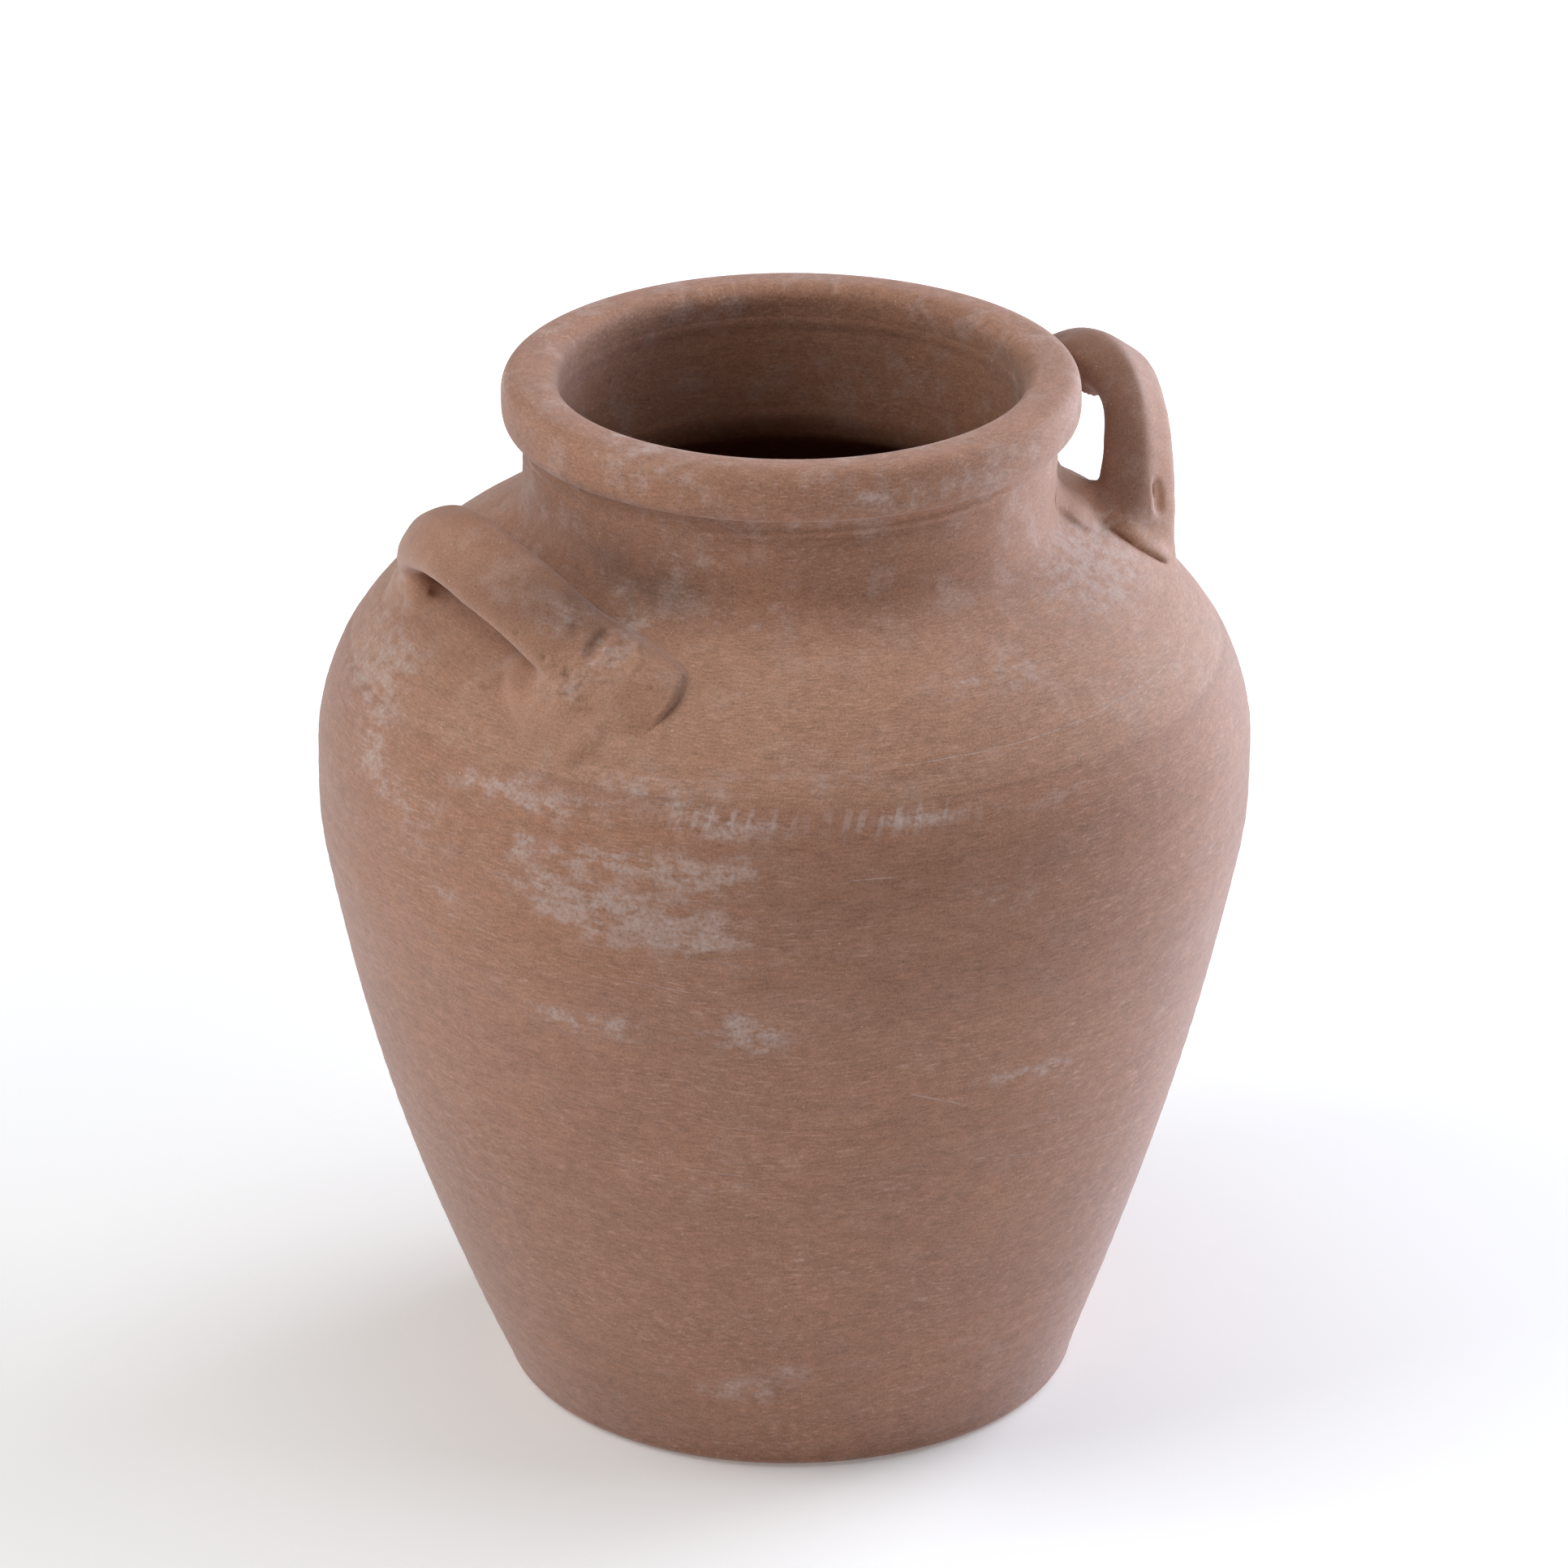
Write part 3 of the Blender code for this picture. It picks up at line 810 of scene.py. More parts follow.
def lute_field(name):
    lute = LUTES[name]
    strap = straps[lute["handle"]]
    centre = skin_point(lute["angle"], lute["height"])
    bars = [Bar(stations) for stations in lute.get("bars", ())]
    softness = through(lute["blend"])
    first = lute["blend"][0][0]
    last = lute["blend"][-1][0]
    middle = (first + last) / 2
    soft_above = lute.get("soft_above", ABOVE_ALL) * MM

    def field(points):
        clay = strap.distance(points)
        for bar in bars:
            clay = smooth_min(clay, bar.distance(points), CLAY_BLEND)
        for lump in lute["lumps"]:
            clay = smooth_min(clay, lump_distance(points, **lump), CLAY_BLEND)
        angle = middle + turn_between(angle_of(points), middle)
        blend = softness(np.clip(angle, first, last)) * MM
        blend = blend + SOFTER * np.clip((points[:, 2] - soft_above) / SOFTER, 0.0, 1.0)
        off_skin = skin_distance(points)
        joined = smooth_min(squeezed(points, clay), off_skin, blend)
        joined = marked(points, joined, lute["handle"])
        joined = smooth_max(joined + SINK, -EMBED - off_skin, TRIM_BLEND)
        return smooth_max(joined, np.linalg.norm(points - centre, axis=1) - LUTE_REACH, TRIM_BLEND)

    return field


def sample(field, low, high, step):
    """Field on a grid, worked out finely only near the surface. Elsewhere it is a coarse guess."""
    spacing = step * COARSEST
    counts = [int(math.ceil((b - a) / spacing)) + 1 for a, b in zip(low, high)]
    values = field(np.array(low) + spacing * np.indices(counts).reshape(3, -1).T).reshape(counts)
    while spacing > step * 1.5:
        values = values.repeat(2, axis=0).repeat(2, axis=1).repeat(2, axis=2)
        near = np.abs(values) < spacing * 2.4
        spacing = spacing / 2
        values[near] = field(np.array(low) + np.argwhere(near) * spacing)
    return values


def net(field, low, high, step):
    """Mesh where the field is zero: one corner in each crossed cell, one face on each crossed edge."""
    values = sample(field, low, high, step)
    inside = values < 0
    cells = tuple(n - 1 for n in values.shape)
    corners = [np.array(c) for c in np.ndindex(2, 2, 2)]
    crowd = sum(
        inside[c[0]:c[0] + cells[0], c[1]:c[1] + cells[1], c[2]:c[2] + cells[2]].astype(np.int8)
        for c in corners
    )
    active = np.argwhere((crowd > 0) & (crowd < 8))
    number = np.full(cells, -1)
    number[tuple(active.T)] = np.arange(len(active))
    total = np.zeros(active.shape)
    count = np.zeros(len(active))
    for a in corners:
        for axis in np.eye(3, dtype=int):
            b = a + axis
            if b.max() > 1:
                continue
            here = values[tuple((active + a).T)]
            there = values[tuple((active + b).T)]
            crossed = (here < 0) != (there < 0)
            t = here / np.where(crossed, here - there, 1.0)
            total += np.where(crossed[:, None], a + t[:, None] * axis, 0.0)
            count += crossed
    vertices = np.array(low) + (active + total / count[:, None]) * step
    faces = []
    for axis in range(3):
        before, after = [k for k in range(3) if k != axis]
        trim = [slice(1, -1)] * 3
        trim[axis] = slice(0, -1)
        ahead = np.roll(inside, -1, axis)
        start = np.array([0 if k == axis else 1 for k in range(3)])
        at = np.argwhere((inside != ahead)[tuple(trim)]) + start
        quad = []
        for back, side in ((1, 1), (0, 1), (0, 0), (1, 0)):
            cell = at.copy()
            cell[:, before] -= back
            cell[:, after] -= side
            quad.append(number[tuple(cell.T)])
        faces.append(np.stack(quad, axis=1))
    return vertices, np.concatenate(faces)


def settle(vertices, field, step):
    """Slide corners along the field's slope onto its surface."""
    for _ in range(2):
        value = field(vertices)
        reach = step * 0.25
        slope = np.stack([
            (field(vertices + reach * axis) - field(vertices - reach * axis)) / (2 * reach)
            for axis in np.eye(3)
        ], axis=1)
        steep = np.maximum((slope**2).sum(axis=1), 0.2)
        move = -(value / steep)[:, None] * slope
        size = np.linalg.norm(move, axis=1)[:, None]
        vertices = vertices + move * np.minimum(1.0, 0.5 * step / np.maximum(size, 1e-9))
    return vertices


def pressed(name, field, low, high, step):
    vertices, faces = net(field, low, high, step)
    return finish_mesh(name, settle(vertices, field, step).tolist(), faces.tolist())


def roomy(low, high, margin):
    return [a - margin for a in low], [b + margin for b in high]


def handle(name):
    low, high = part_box(name)
    low, high = roomy(low, high, HANDLE_MARGIN)
    return pressed("fired_" + name, handle_field(name), low, high, HANDLE_STEP)


def lute(name):
    centre = skin_point(LUTES[name]["angle"], LUTES[name]["height"])
    low, high = roomy(centre, centre, LUTE_REACH + LUTE_MARGIN)
    return pressed("fired_" + name, lute_field(name), low, high, LUTE_STEP)


# ---- colour: masks on the corners, then nodes ----

# Where the surface is chalky, orange, darker or painted with shadow: degrees round, height, half sizes
# round and up, strength
PATCHES = {
    "bloom": (
        (176, 279, 10, 10, 1), (-178, 274, 10, 7, 0.9), (172, 292, 22, 7, 0.8), (-160, 289.5, 20, 4, 0.9),
        (-151, 289.5, 26, 5, 0.7), (-128.8, 290, 24, 4.5, 1), (-104.6, 289.5, 22, 4, 0.9),
        (-86, 289, 20, 4, 0.5), (-143.6, 275.7, 24, 4, 1), (-129.5, 273.5, 20, 6, 1),
        (-154.6, 273.6, 5, 4, 0.9), (-142.6, 254, 34, 8, 0.8), (-131, 252, 20, 7, 0.7),
        (-165, 243, 10, 6, 0.5), (-126, 212, 13.5, 10, 1.1), (-142.8, 209, 30, 6, 0.8),
        (-89, 181, 26, 4, 0.9), (-66, 179, 30, 8, 0.4), (-92, 259, 22, 9, 0.4), (-60, 205, 50, 12, 0.3),
        (-126.3, 41, 22, 6, 0.8), (-76, 29, 20, 5, 0.5), (-118, 51, 20, 4, 0.5),
        (-57.8, 308, 30, 10, 0.4), (-33, 334, 30, 10, 0.8), (160, 302, 24, 14, 0.7),
        (-136, 363.5, 22, 4, 0.5), (-101, 388, 26, 6, 0.9), (-50, 336, 34, 13, 0.9),
        (-88, 325, 36, 8, 0.6), (-118, 305, 40, 6, 0.5), (-140, 300, 36, 5, 0.7), (171, 306, 20, 9, 0.9),
        (-150, 264, 30, 5, 0.6), (-72, 390, 30, 6, 0.6), (-150, 399, 30, 8, 0.6), (-116, 379, 20, 4, 0.5),
        (-149.8, 337.2, 8, 6, 1.2), (-157, 346, 8, 7, 0.6), (-152.5, 322.5, 6, 4, 0.9),
        (-142, 268, 60, 16, 0.35), (-138, 243, 55, 14, 0.35), (-172, 262, 20, 14, 0.5),
        (60, 270, 40, 8, 0.8), (110, 200, 50, 10, 0.7), (20, 150, 40, 8, 0.6), (80, 312, 40, 6, 0.7),
        (135, 240, 30, 12, 0.7), (-10, 285, 30, 6, 0.8),
    ),
    "warm": (
        (-171, 320, 34, 12, 0.9), (-120, 312, 45, 9, 0.5), (-65.9, 350, 9, 9, 1),
        (-164, 243, 40, 24, 0.5), (-150, 388, 30, 8, 0.6), (-120, 392, 50, 5, 0.5),
        (-140, 70, 50, 30, 0.4), (40, 220, 60, 30, 0.5), (100, 300, 40, 12, 0.5),
    ),
    # shade: painted shadow on the neck behind the left handle and under the rim, mixed with darker clay
    # such as a wiped brown patch
    "shade": (
        (-163, 353, 34, 10, 1.1), (-146, 344, 20, 6, 0.7), (-140, 378, 40, 4, 0.8),
        (-143.6, 323.3, 10, 6, 0.6), (-151.8, 339.1, 3, 3, 1), (-137.5, 324, 1, 8, 1),
        (-152, 350, 30, 12, 0.8), (-96, 270, 50, 12, 0.5), (-112, 260, 30, 8, 0.4),
        (-150, 348, 30, 6, 0.4), (-82.4, 275.8, 4, 1.5, 1), (-100, 228, 40, 8, 0.3),
        (70, 180, 60, 12, 0.4),
    ),
}

# Pale scratches: from (degrees round, height) to (degrees round, height), and half width
SCRATCHES = (
    ((-52.0, 309), (-112.0, 306.4), 0.22),
    ((-97.5, 147.4), (-46.0, 121.3), 0.18),
    ((-105.4, 182), (-97.3, 172.5), 0.3),
    ((-134.9, 149), (-125.0, 146.8), 0.18),
    ((-84.0, 169), (-81.0, 150), 0.22),
    ((-130.0, 169.2), (-117.0, 167.6), 0.15),
    ((-113.5, 272), (-107.5, 272.2), 0.22),
    ((-90.0, 156), (-70.0, 150), 0.16),
    ((-141.0, 230), (-131.0, 227.5), 0.16),
    ((35.0, 260), (62.0, 254), 0.22),
    ((95.0, 150), (120.0, 156), 0.2),
)

HATCHED = ((-129.0, 8.0), (-106.0, 9.0))  # rows of pale tool strokes: degrees round, reach
HATCH_DROP = 0.004  # below the seam
HATCH_REACH = 0.0045
SEAM_BLUR = 0.0008
NEAR_BELLY = 0.15  # the seam and the strokes show only further out than this
PALE_TO = 0.335  # the shoulder is paler than the body, up to here
# strength of the painted shade on the right handle's face turned to the neck
NECKWARD_SHADE = 1.7

CLAY_BROWN = (0.330, 0.154, 0.090, 1.0)
CLAY_ORANGE = (0.385, 0.176, 0.098, 1.0)
CLAY_GREY = (0.335, 0.192, 0.136, 1.0)
CLAY_PALE = (0.500, 0.285, 0.180, 1.0)
# dark clay, also the colour of the painted shadow
CLAY_DARK = (0.190, 0.088, 0.052, 1.0)
BLOOM = (0.545, 0.425, 0.385, 1.0)
GRIT = (0.620, 0.490, 0.400, 1.0)
PORE = (0.090, 0.045, 0.030, 1.0)
# painted shade deep inside the jar
DEEP_SHADE = (0.130, 0.045, 0.020, 1.0)


def corners_of(piece):
    corners = np.zeros(len(piece.data.vertices) * 3)
    piece.data.vertices.foreach_get("co", corners)
    return corners.reshape(-1, 3)


def inside_shade(radius, height):
    """Painted shade: 1 deep inside the jar, fading to 0 at the lip and on the outside."""
    within = np.clip((outer_radius(height) - radius - 0.0045) / 0.003, 0.0, 1.0)
    depth = np.clip((RIM_TOP - 0.006 - height) / 0.045, 0.0, 1.0)
    return within * depth**0.8


def patch_mask(patches, angle, height, radius):
    """The soft spots of one kind, added up."""
    total = np.zeros(len(angle))
    for around, level, half_round, half_high, strength in patches:
        sideways = np.radians(turn_between(angle, around)) * radius / (half_round * MM)
        upward = (height - level * MM) / (half_high * MM)
        total += strength * np.exp(-(sideways**2) - upward**2)
    return total


def painted_shade_side(points):
    """1 on the side of the right handle's strap that is turned to the neck, 0 on the skin: where shade is
    painted on that face.
    """
    width = straps["right_handle"].place(points)[0]
    share = width / HANDLES["right_handle"]["half_width"]
    side = np.clip(0.4 - share * 2.0, 0.0, 1.0) * np.clip((1.5 + share) / 0.3, 0.0, 1.0)
    return side * np.clip((skin_distance(points) - 0.003) / 0.006, 0.0, 1.0)


def paint(piece):
    """Write the masks that the material reads as attributes on the corners."""
    points = corners_of(piece)
    angle = angle_of(points)
    height = points[:, 2]
    radius = np.hypot(points[:, 0], points[:, 1])
    masks = {kind: patch_mask(patches, angle, height, radius) for kind, patches in PATCHES.items()}
    # painted shade on the right handle's face turned to the neck
    if piece.name.startswith("fired_right_handle"):
        masks["shade"] += NECKWARD_SHADE * painted_shade_side(points)
    below_seam = seam_line(angle) - height
    band = 0.5 + 0.5 * np.tanh(below_seam / SEAM_BLUR)
    on_belly = radius > NEAR_BELLY
    strokes = sum(bell(turn_between(angle, around), reach) for around, reach in HATCHED)
    masks["hatch"] = band * bell(below_seam - HATCH_DROP, HATCH_REACH) * strokes * on_belly
    # painted shade, darker deeper inside the jar
    masks["inside"] = inside_shade(radius, height)
    towards_neck = np.clip((height - PALE_TO) / 0.012, 0.0, 1.0)
    masks["above_seam"] = (1.0 - band) * (1.0 - 0.8 * towards_neck)
    broken = 0.55 + 0.45 * np.sin(np.radians(angle * 7))
    masks["seam"] = bell(below_seam, SEAM_BLUR) * broken * on_belly
    for name, values in masks.items():
        layer = piece.data.attributes.new(name, "FLOAT", "POINT")
        layer.data.foreach_set("value", values.astype(np.float32))


class Graph:
    """Short names for the shader nodes used here. A value is a socket or a plain number."""

    def __init__(self, material):
        material.use_nodes = True
        self.tree = material.node_tree
        self.shader = self.tree.nodes["Principled BSDF"]

    def put(self, socket, value):
        if isinstance(value, bpy.types.NodeSocket):
            self.tree.links.new(value, socket)
        else:
            socket.default_value = value

    def preset(self, node, **values):
        """Set sockets by name, with _ for a space."""
        for name, value in values.items():
            node.inputs[name.replace("_", " ")].default_value = value

    def math(self, operation, *values):
        node = self.tree.nodes.new("ShaderNodeMath")
        node.operation = operation
        for socket, value in zip(node.inputs, values):
            self.put(socket, value)
        return node.outputs[0]

    def times(self, a, b):
        return self.math("MULTIPLY", a, b)

    def plus(self, a, b):
        return self.math("ADD", a, b)

    def less(self, a, b):
        return self.math("SUBTRACT", a, b)

    def ramp(self, value, low, high, start=0.0, end=1.0):
        node = self.tree.nodes.new("ShaderNodeMapRange")
        node.interpolation_type = "SMOOTHSTEP"
        names = ("Value", "From Min", "From Max", "To Min", "To Max")
        for name, given in zip(names, (value, low, high, start, end)):
            self.put(node.inputs[name], given)
        return node.outputs["Result"]

    def vector(self, x, y, z):
        node = self.tree.nodes.new("ShaderNodeCombineXYZ")
        for socket, value in zip(node.inputs, (x, y, z)):
            self.put(socket, value)
        return node.outputs[0]

    def noise(self, vector, scale=1.0, detail=3.0, roughness=0.55):
        node = self.tree.nodes.new("ShaderNodeTexNoise")
        self.put(node.inputs["Vector"], vector)
        self.preset(node, Scale=scale, Detail=detail, Roughness=roughness)
        return node.outputs["Fac"]

    def spots(self, vector, scale, rarity, size):
        """Round spots in a few of the cells of a fine mesh: 1 on a spot, 0 off it."""
        node = self.tree.nodes.new("ShaderNodeTexVoronoi")
        self.put(node.inputs["Vector"], vector)
        self.preset(node, Scale=scale)
        chance = self.tree.nodes.new("ShaderNodeSeparateColor")
        self.tree.links.new(node.outputs["Color"], chance.inputs[0])
        chosen = self.ramp(chance.outputs[0], rarity, rarity + 0.02)
        round_spot = self.ramp(node.outputs["Distance"], size, size * 0.4)
        return self.times(chosen, round_spot)

    def blend(self, amount, a, b):
        node = self.tree.nodes.new("ShaderNodeMix")
        node.data_type = "RGBA"
        self.put(node.inputs[0], amount)
        self.put(node.inputs[6], a)
        self.put(node.inputs[7], b)
        return node.outputs[2]

    def shade(self, colour, brightness):
        node = self.tree.nodes.new("ShaderNodeHueSaturation")
        self.put(node.inputs["Value"], brightness)
        self.put(node.inputs["Color"], colour)
        return node.outputs[0]

    def mask(self, name):
        node = self.tree.nodes.new("ShaderNodeAttribute")
        node.attribute_name = name
        return node.outputs["Fac"]


class Clay(Graph):
    """Nodes for unglazed clay: where the surface lies on the jar, and what the wheel left on it."""

    def __init__(self, material, streaks):
        super().__init__(material)
        self.streaks = streaks
        self.place = self.tree.nodes.new("ShaderNodeTexCoord").outputs["Object"]
        split = self.tree.nodes.new("ShaderNodeSeparateXYZ")
        self.tree.links.new(self.place, split.inputs[0])
        x, y, self.height = split.outputs
        radius = self.math("SQRT", self.plus(self.times(x, x), self.times(y, y)))
        radius = self.math("MAXIMUM", radius, 0.001)
        self.azimuth = self.math("ARCTAN2", y, x)
        self.round_x = self.math("DIVIDE", x, radius)
        self.round_y = self.math("DIVIDE", y, radius)
        waver = self.times(self.noise(self.place, 14.0, 2.0), 0.010)
        self.down_skin = self.less(self.plus(self.height, waver), self.times(radius, 0.8))
        self.broad = self.brushed(1.7, 26.0, 4.0)
        self.streak = self.brushed(8.0, 230.0, 4.0, 0.6)
        self.hair = self.brushed(34.0, 1100.0, 3.0, 0.65)
        self.mottle = self.noise(self.place, 150.0, 5.0, 0.65)
        self.grain = self.noise(self.place, 1300.0, 3.0, 0.8)
        self.grit = self.spots(self.place, 330.0, 0.93, 0.13)
        self.pores = self.spots(self.place, 210.0, 0.94, 0.085)

    def brushed(self, around, up, detail=3.0, roughness=0.55):
        """Noise drawn out round the jar. around and up are how often it changes that way."""
        across = self.vector(
            self.times(self.round_x, around),
            self.times(self.round_y, around),
            self.times(self.down_skin, up),
        )
        return self.noise(across, 1.0, detail, roughness)

    def tinted(self, colour, *layers):
        """Lay tints over a colour, each as (where, how much, tint)."""
        for where, share, tint in layers:
            colour = self.blend(self.times(where, share), colour, tint)
        return colour

    def uneven(self, value):
        """A noise's swing either side of nothing."""
        return self.less(value, 0.5)

    def total(self, *parts):
        """Sum of parts, each as (value, how much)."""
        added = 0.0
        for value, share in parts:
            added = self.plus(added, self.times(value, share))
        return added


def fired(g, patchy):
    """Bare fired colour, with the masks' tones and a blotchy firing. The shade mask lays painted shadow
    into it as well as darker clay.
    """
    blotch = g.noise(g.place, 60.0, 5.0, 0.62)
    colour = g.tinted(
        CLAY_BROWN,
        (g.ramp(g.broad, 0.36, 0.64), 0.60, CLAY_ORANGE),
        (g.ramp(g.mottle, 0.40, 0.68), 0.25, CLAY_GREY),
        (g.mask("warm"), 0.70, CLAY_ORANGE),
        # painted shadow and darker clay, from the shade mask
        (g.mask("shade"), 0.45, CLAY_DARK),
        (g.mask("above_seam"), 0.27, CLAY_PALE),
        (g.mask("seam"), 0.40, CLAY_DARK),
        (g.ramp(blotch, 0.51, 0.64), 0.36 * patchy, BLOOM),
        (g.ramp(blotch, 0.47, 0.36), 0.60 * patchy, CLAY_ORANGE),
    )
    brightness = g.total(
        (g.uneven(g.grain), 1.5),
        (g.uneven(g.hair), 0.90 * g.streaks),
        (g.uneven(g.streak), 0.35 * g.streaks),
        (g.uneven(g.mottle), 0.45),
    )
    return g.shade(colour, g.plus(brightness, 1.0))


def hairlines(g, colour):
    """Pale and dark brush hairs, each in their own stretches."""
    gate = g.brushed(2.6, 60.0)
    pale = g.times(g.ramp(g.hair, 0.56, 0.70), g.ramp(gate, 0.42, 0.60))
    dark = g.times(g.ramp(g.hair, 0.40, 0.28), g.ramp(gate, 0.60, 0.42))
    return g.tinted(colour, (pale, 0.30 * g.streaks, BLOOM), (dark, 0.30 * g.streaks, CLAY_DARK))


def chalk_mask(g, bloom_share):
    """Chalky bloom: the painted patches and some by chance, with ragged, streaky, crumbly edges."""
    by_chance = g.times(g.ramp(g.brushed(2.2, 34.0, 4.0), 0.50, 0.74), bloom_share)
    chalk = g.math("MINIMUM", g.plus(g.mask("bloom"), by_chance), 1.1)
    strokes = g.uneven(g.brushed(12.0, 190.0, 5.0, 0.65))
    ragged = g.uneven(g.noise(g.place, 120.0, 6.0, 0.70))
    edge = g.total((strokes, 4.42), (ragged, 3.38))
    crumbs = g.ramp(g.noise(g.place, 600.0, 4.0, 0.75), 0.38, 0.58)
    chalk = g.ramp(g.times(chalk, g.plus(edge, 0.80)), 0.14, 1.20)
    return g.times(chalk, g.plus(g.times(crumbs, 0.65), 0.35))


def hatch_mask(g):
    """Short slanted tool strokes in a row."""
    slanted = g.less(g.times(g.azimuth, 43.0), g.times(g.height, 100.0))
    teeth = g.noise(g.vector(slanted, g.times(g.height, 30.0), 0.0), 1.0, 1.0)
    strokes = g.times(g.mask("hatch"), g.ramp(teeth, 0.50, 0.62))
    return g.times(strokes, g.ramp(g.noise(g.place, 300.0), 0.32, 0.52))


def scratch_mask(g):
    """1 on the scratches, which waver and break up."""
    wander = g.times(g.uneven(g.noise(g.place, 30.0, 2.0)), 0.0016)
    level = g.less(g.height, wander)
    scratched = 0.0
    for (a0, z0), (a1, z1), half_width in SCRATCHES:
        along = g.less(g.azimuth, math.radians(a0))
        along = g.math("DIVIDE", along, math.radians(a1 - a0))
        line = g.plus(g.times(along, (z1 - z0) * MM), z0 * MM)
        away = g.math("ABSOLUTE", g.less(level, line))
        ends = g.times(g.ramp(along, 0.0, 0.12), g.ramp(along, 1.0, 0.8))
        mark = g.times(g.ramp(away, half_width * 1.6 * MM, half_width * 0.5 * MM), ends)
        scratched = g.plus(scratched, mark)
    return g.times(scratched, g.ramp(g.noise(g.place, 260.0, 2.0), 0.36, 0.56))


def clay(name, streaks, bloom_share, patchy, scratched):
    """Unglazed terracotta. streaks is how strongly brush marks show, patchy how blotchy it fired."""
    material = bpy.data.materials.new(name)
    g = Clay(material, streaks)
    chalk = chalk_mask(g, bloom_share)
    hatch = hatch_mask(g)
    scratch = scratch_mask(g) if scratched else 0.0
    colour = hairlines(g, fired(g, patchy))
    colour = g.tinted(
        colour,
        (chalk, 0.62, BLOOM),
        (hatch, 0.60, BLOOM),
        (scratch, 0.45, BLOOM),
        (g.grit, 0.75, GRIT),
        (g.pores, 1.0, PORE),
        # painted shade, darker deeper inside the jar
        (g.mask("inside"), 0.47, DEEP_SHADE),
    )
    g.put(g.shader.inputs["Base Color"], colour)
    g.put(g.shader.inputs["Roughness"], g.plus(g.total((g.mottle, 0.16), (chalk, 0.12)), 0.62))
    g.put(g.shader.inputs["Sheen Weight"], g.times(g.less(1.0, g.mask("inside")), 0.34))
    g.preset(g.shader, Specular_IOR_Level=0.5, Sheen_Roughness=0.5, Sheen_Tint=(1.0, 0.93, 0.97, 1.0))
    bump = g.tree.nodes.new("ShaderNodeBump")
    g.preset(bump, Strength=0.55, Distance=0.0005)
    rise = g.total(
        (g.grain, 0.30),
        (g.mottle, 0.60),
        (g.streak, 0.90 * streaks),
        (g.hair, 0.35 * streaks),
        (g.grit, 0.15),
        (hatch, 0.15),
        (g.pores, -0.60),
        (scratch, -0.60),
    )
    g.put(bump.inputs["Height"], rise)
    g.put(g.shader.inputs["Normal"], bump.outputs[0])
    return material


# How each kind of section was worked and fired: brush marks, chance bloom, blotches, scratches
FINISHES = {
    "body_clay": dict(streaks=1.0, bloom_share=0.34, patchy=0.14, scratched=True),
    "shoulder_clay": dict(streaks=1.0, bloom_share=0.34, patchy=0.28, scratched=True),
    "rim_clay": dict(streaks=0.9, bloom_share=0.40, patchy=0.60, scratched=False),
    "handle_clay": dict(streaks=0.2, bloom_share=0.30, patchy=0.34, scratched=False),
    "lute_clay": dict(streaks=0.5, bloom_share=0.36, patchy=0.34, scratched=False),
}


# ---- camera, floor and light ----

CAMERA_AROUND = -31.0  # degrees from the front towards -X
CAMERA_UP = 24.03
CAMERA_AWAY = 2.58067  # along the floor
CAMERA_AIM = 0.2333  # height it points at
CAMERA_SHIFT = -0.000776  # of the frame's width
LENS = 172.25


def camera():
    data = bpy.data.cameras.new("camera")
    data.sensor_width = 36.0
    data.lens = LENS
    data.shift_x = CAMERA_SHIFT
    data.clip_end = 50.0
    eye = add_object("camera", data)
    around = math.radians(CAMERA_AROUND)
    rise = CAMERA_AWAY * math.tan(math.radians(CAMERA_UP))
    aim = Vector((0.0, 0.0, CAMERA_AIM))
    sideways = math.sin(around) * CAMERA_AWAY
    forward = -math.cos(around) * CAMERA_AWAY
    eye.location = aim + Vector((sideways, forward, rise))
    eye.rotation_euler = (aim - eye.location).to_track_quat("-Z", "Y").to_euler()
    bpy.context.scene.camera = eye


# Soft boxes: degrees round from the camera's own side, degrees up, watts, tint
LIGHTS = {
    "left_low_box": dict(around=-85.0, up=15.0, power=2.8, tint=(1.0, 1.0, 1.0)),
    "left_high_box": dict(around=-70.0, up=45.0, power=16.0, tint=(1.0, 1.0, 0.98)),
    "right_box": dict(around=125.0, up=15.0, power=28.5, tint=(0.94, 1.0, 1.13)),
    "right_high_box": dict(around=85.0, up=45.0, power=10.0, tint=(0.95, 1.0, 1.09)),
    "top_box": dict(around=0.0, up=88.0, power=9.0, tint=(1.0, 1.0, 1.0)),
}
BOX_SIZE = 1.2
BOX_AWAY = 1.8
BOX_AIM = 0.2  # height they point at
WORLD_STRENGTH = 0.01
WHITE = (1.0, 1.0, 1.0, 1.0)
PAPER = (0.93, 0.93, 0.93, 1.0)
FLOOR_SIZE = 6.0  # from its middle to its edges
FLOOR_GLOW = 0.18  # how bright the floor is by itself near the jar
FAR_GLOW = 0.68  # and far off
GLOW_FROM = 0.35
GLOW_FULL = 1.10


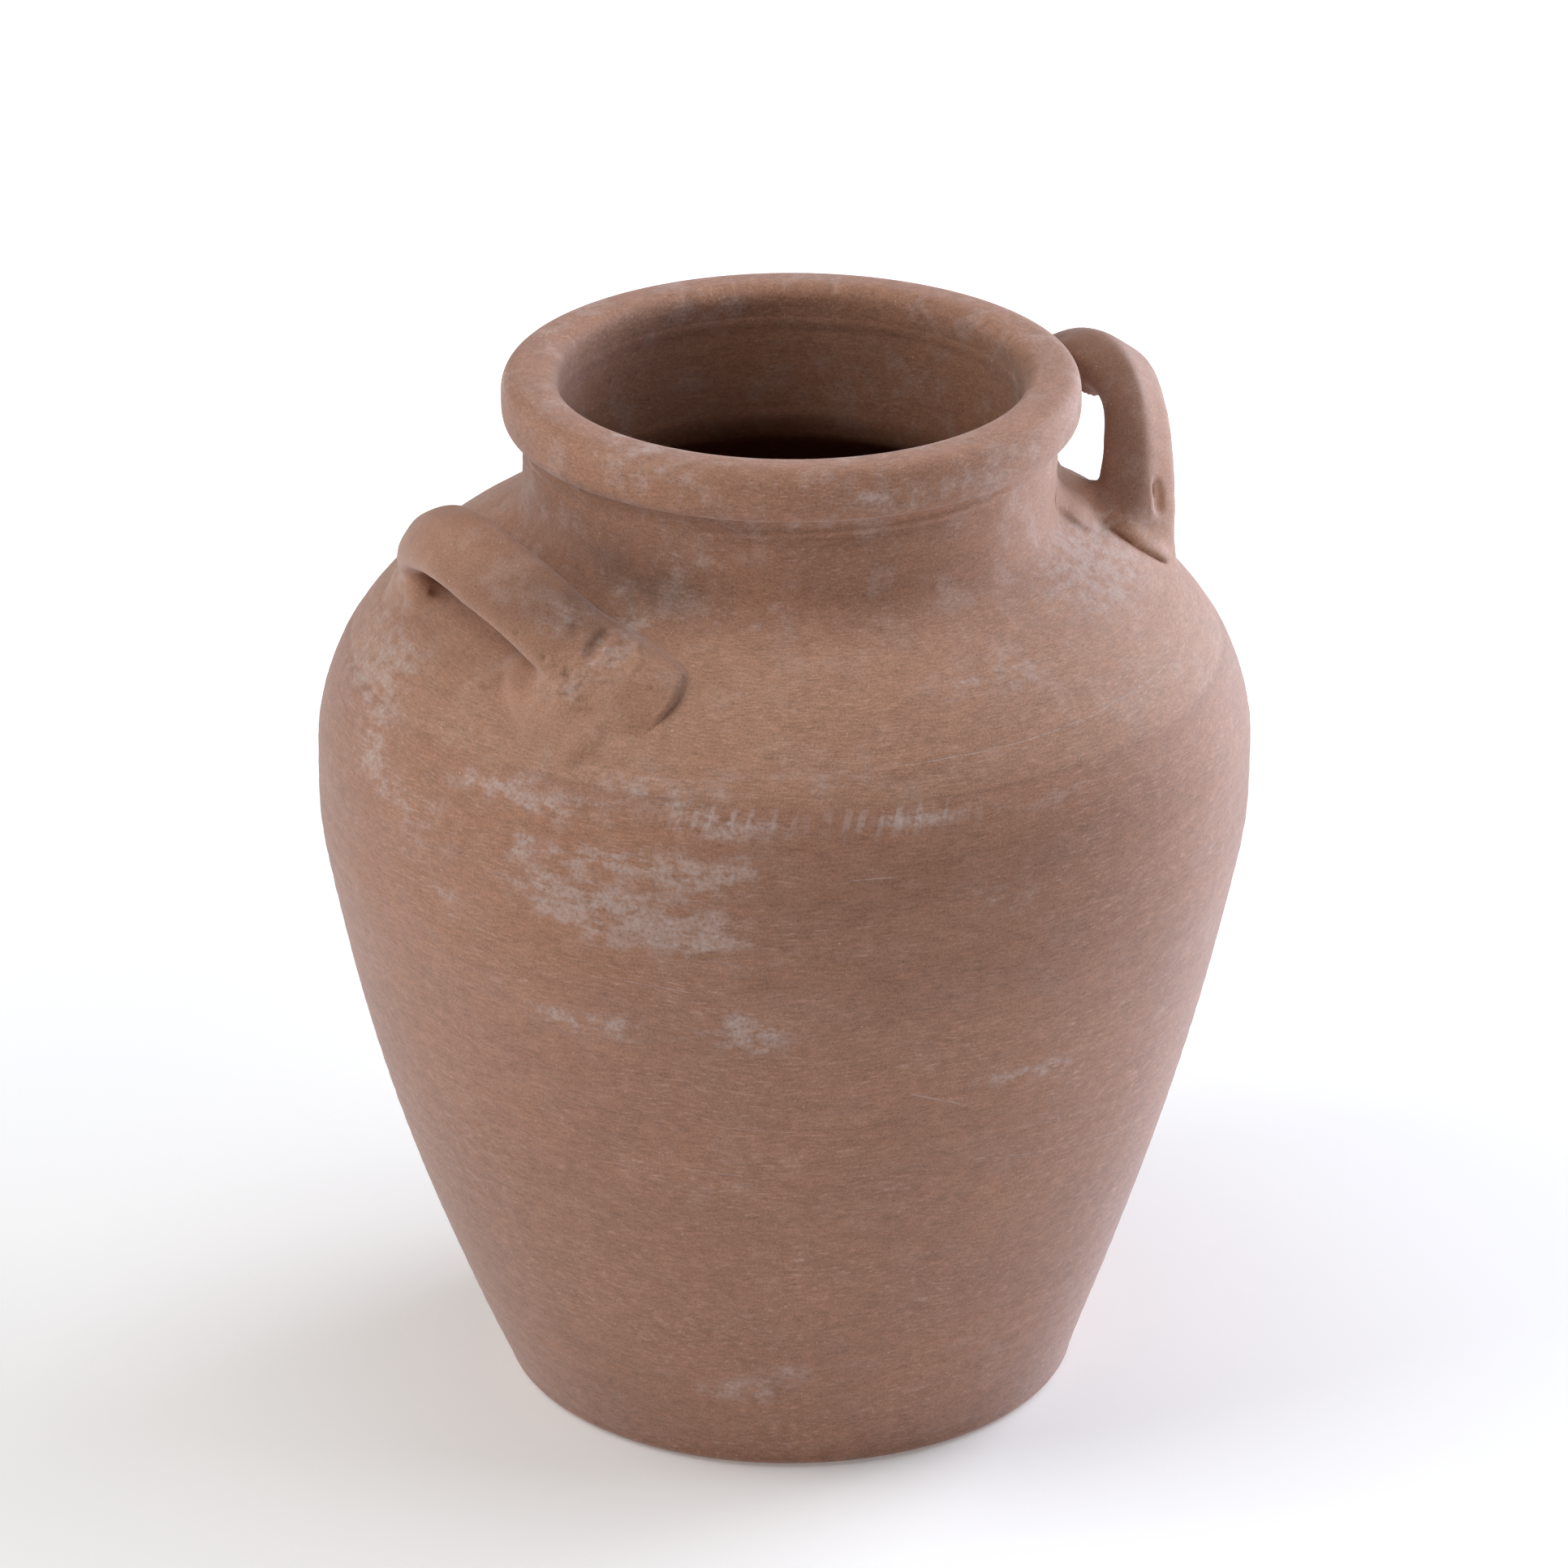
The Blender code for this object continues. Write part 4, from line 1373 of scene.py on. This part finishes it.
def soft_box(name, around, up, power, tint):
    data = bpy.data.lights.new(name, "AREA")
    data.shape = "SQUARE"
    data.size = BOX_SIZE
    data.energy = power
    data.color = tint
    lamp = add_object(name, data)
    turn = math.radians(CAMERA_AROUND + around)
    rise = math.radians(up)
    flat = math.cos(rise)
    toward = Vector((math.sin(turn) * flat, -math.cos(turn) * flat, math.sin(rise)))
    lamp.location = Vector((0.0, 0.0, BOX_AIM)) + toward * BOX_AWAY
    lamp.rotation_euler = (-toward).to_track_quat("-Z", "Y").to_euler()


def paper():
    """Pale floor that glows by itself, more so further out, so that it stays white to the frame's edges."""
    material = bpy.data.materials.new("paper")
    g = Graph(material)
    place = g.tree.nodes.new("ShaderNodeTexCoord").outputs["Object"]
    length = g.tree.nodes.new("ShaderNodeVectorMath")
    length.operation = "LENGTH"
    g.tree.links.new(place, length.inputs[0])
    glow = g.ramp(length.outputs["Value"], GLOW_FROM, GLOW_FULL, FLOOR_GLOW, FAR_GLOW)
    g.preset(g.shader, Base_Color=PAPER, Roughness=0.9, Emission_Color=WHITE)
    g.put(g.shader.inputs["Emission Strength"], glow)
    return material


def studio():
    world = bpy.data.worlds.new("studio")
    bpy.context.scene.world = world
    world.use_nodes = True
    background = world.node_tree.nodes["Background"]
    background.inputs["Color"].default_value = WHITE
    background.inputs["Strength"].default_value = WORLD_STRENGTH
    for name, box in LIGHTS.items():
        soft_box(name, **box)
    cage = bmesh.new()
    bmesh.ops.create_grid(cage, x_segments=2, y_segments=2, size=FLOOR_SIZE)
    mesh = bpy.data.meshes.new("floor")
    cage.to_mesh(mesh)
    cage.free()
    floor = add_object("floor", mesh)
    mesh.materials.append(paper())
    bpy.context.scene.view_settings.view_transform = "Standard"


# ---- putting it together ----


def main():
    """Make every piece, paint it, and hang it in place of its packed section."""
    made = {
        "base_disc": base_disc(),
        "lower_wall": lower_wall(),
        "shoulder_wall": shoulder_wall(),
        "neck_collar": neck_collar(),
        "rim_roll": rim_roll(),
    }
    for name in HANDLES:
        made[name] = handle(name)
    for name in LUTES:
        made[name] = lute(name)
    slots = {part["node"]: part["material_slot"] for part in frame["record"]["subparts"]}
    finishes = {slot: clay(slot, **finish) for slot, finish in FINISHES.items()}
    for node, piece in made.items():
        paint(piece)
        piece.data.materials.append(finishes[slots[node]])
        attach(piece, "root")
        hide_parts(node)
    camera()
    studio()


main()
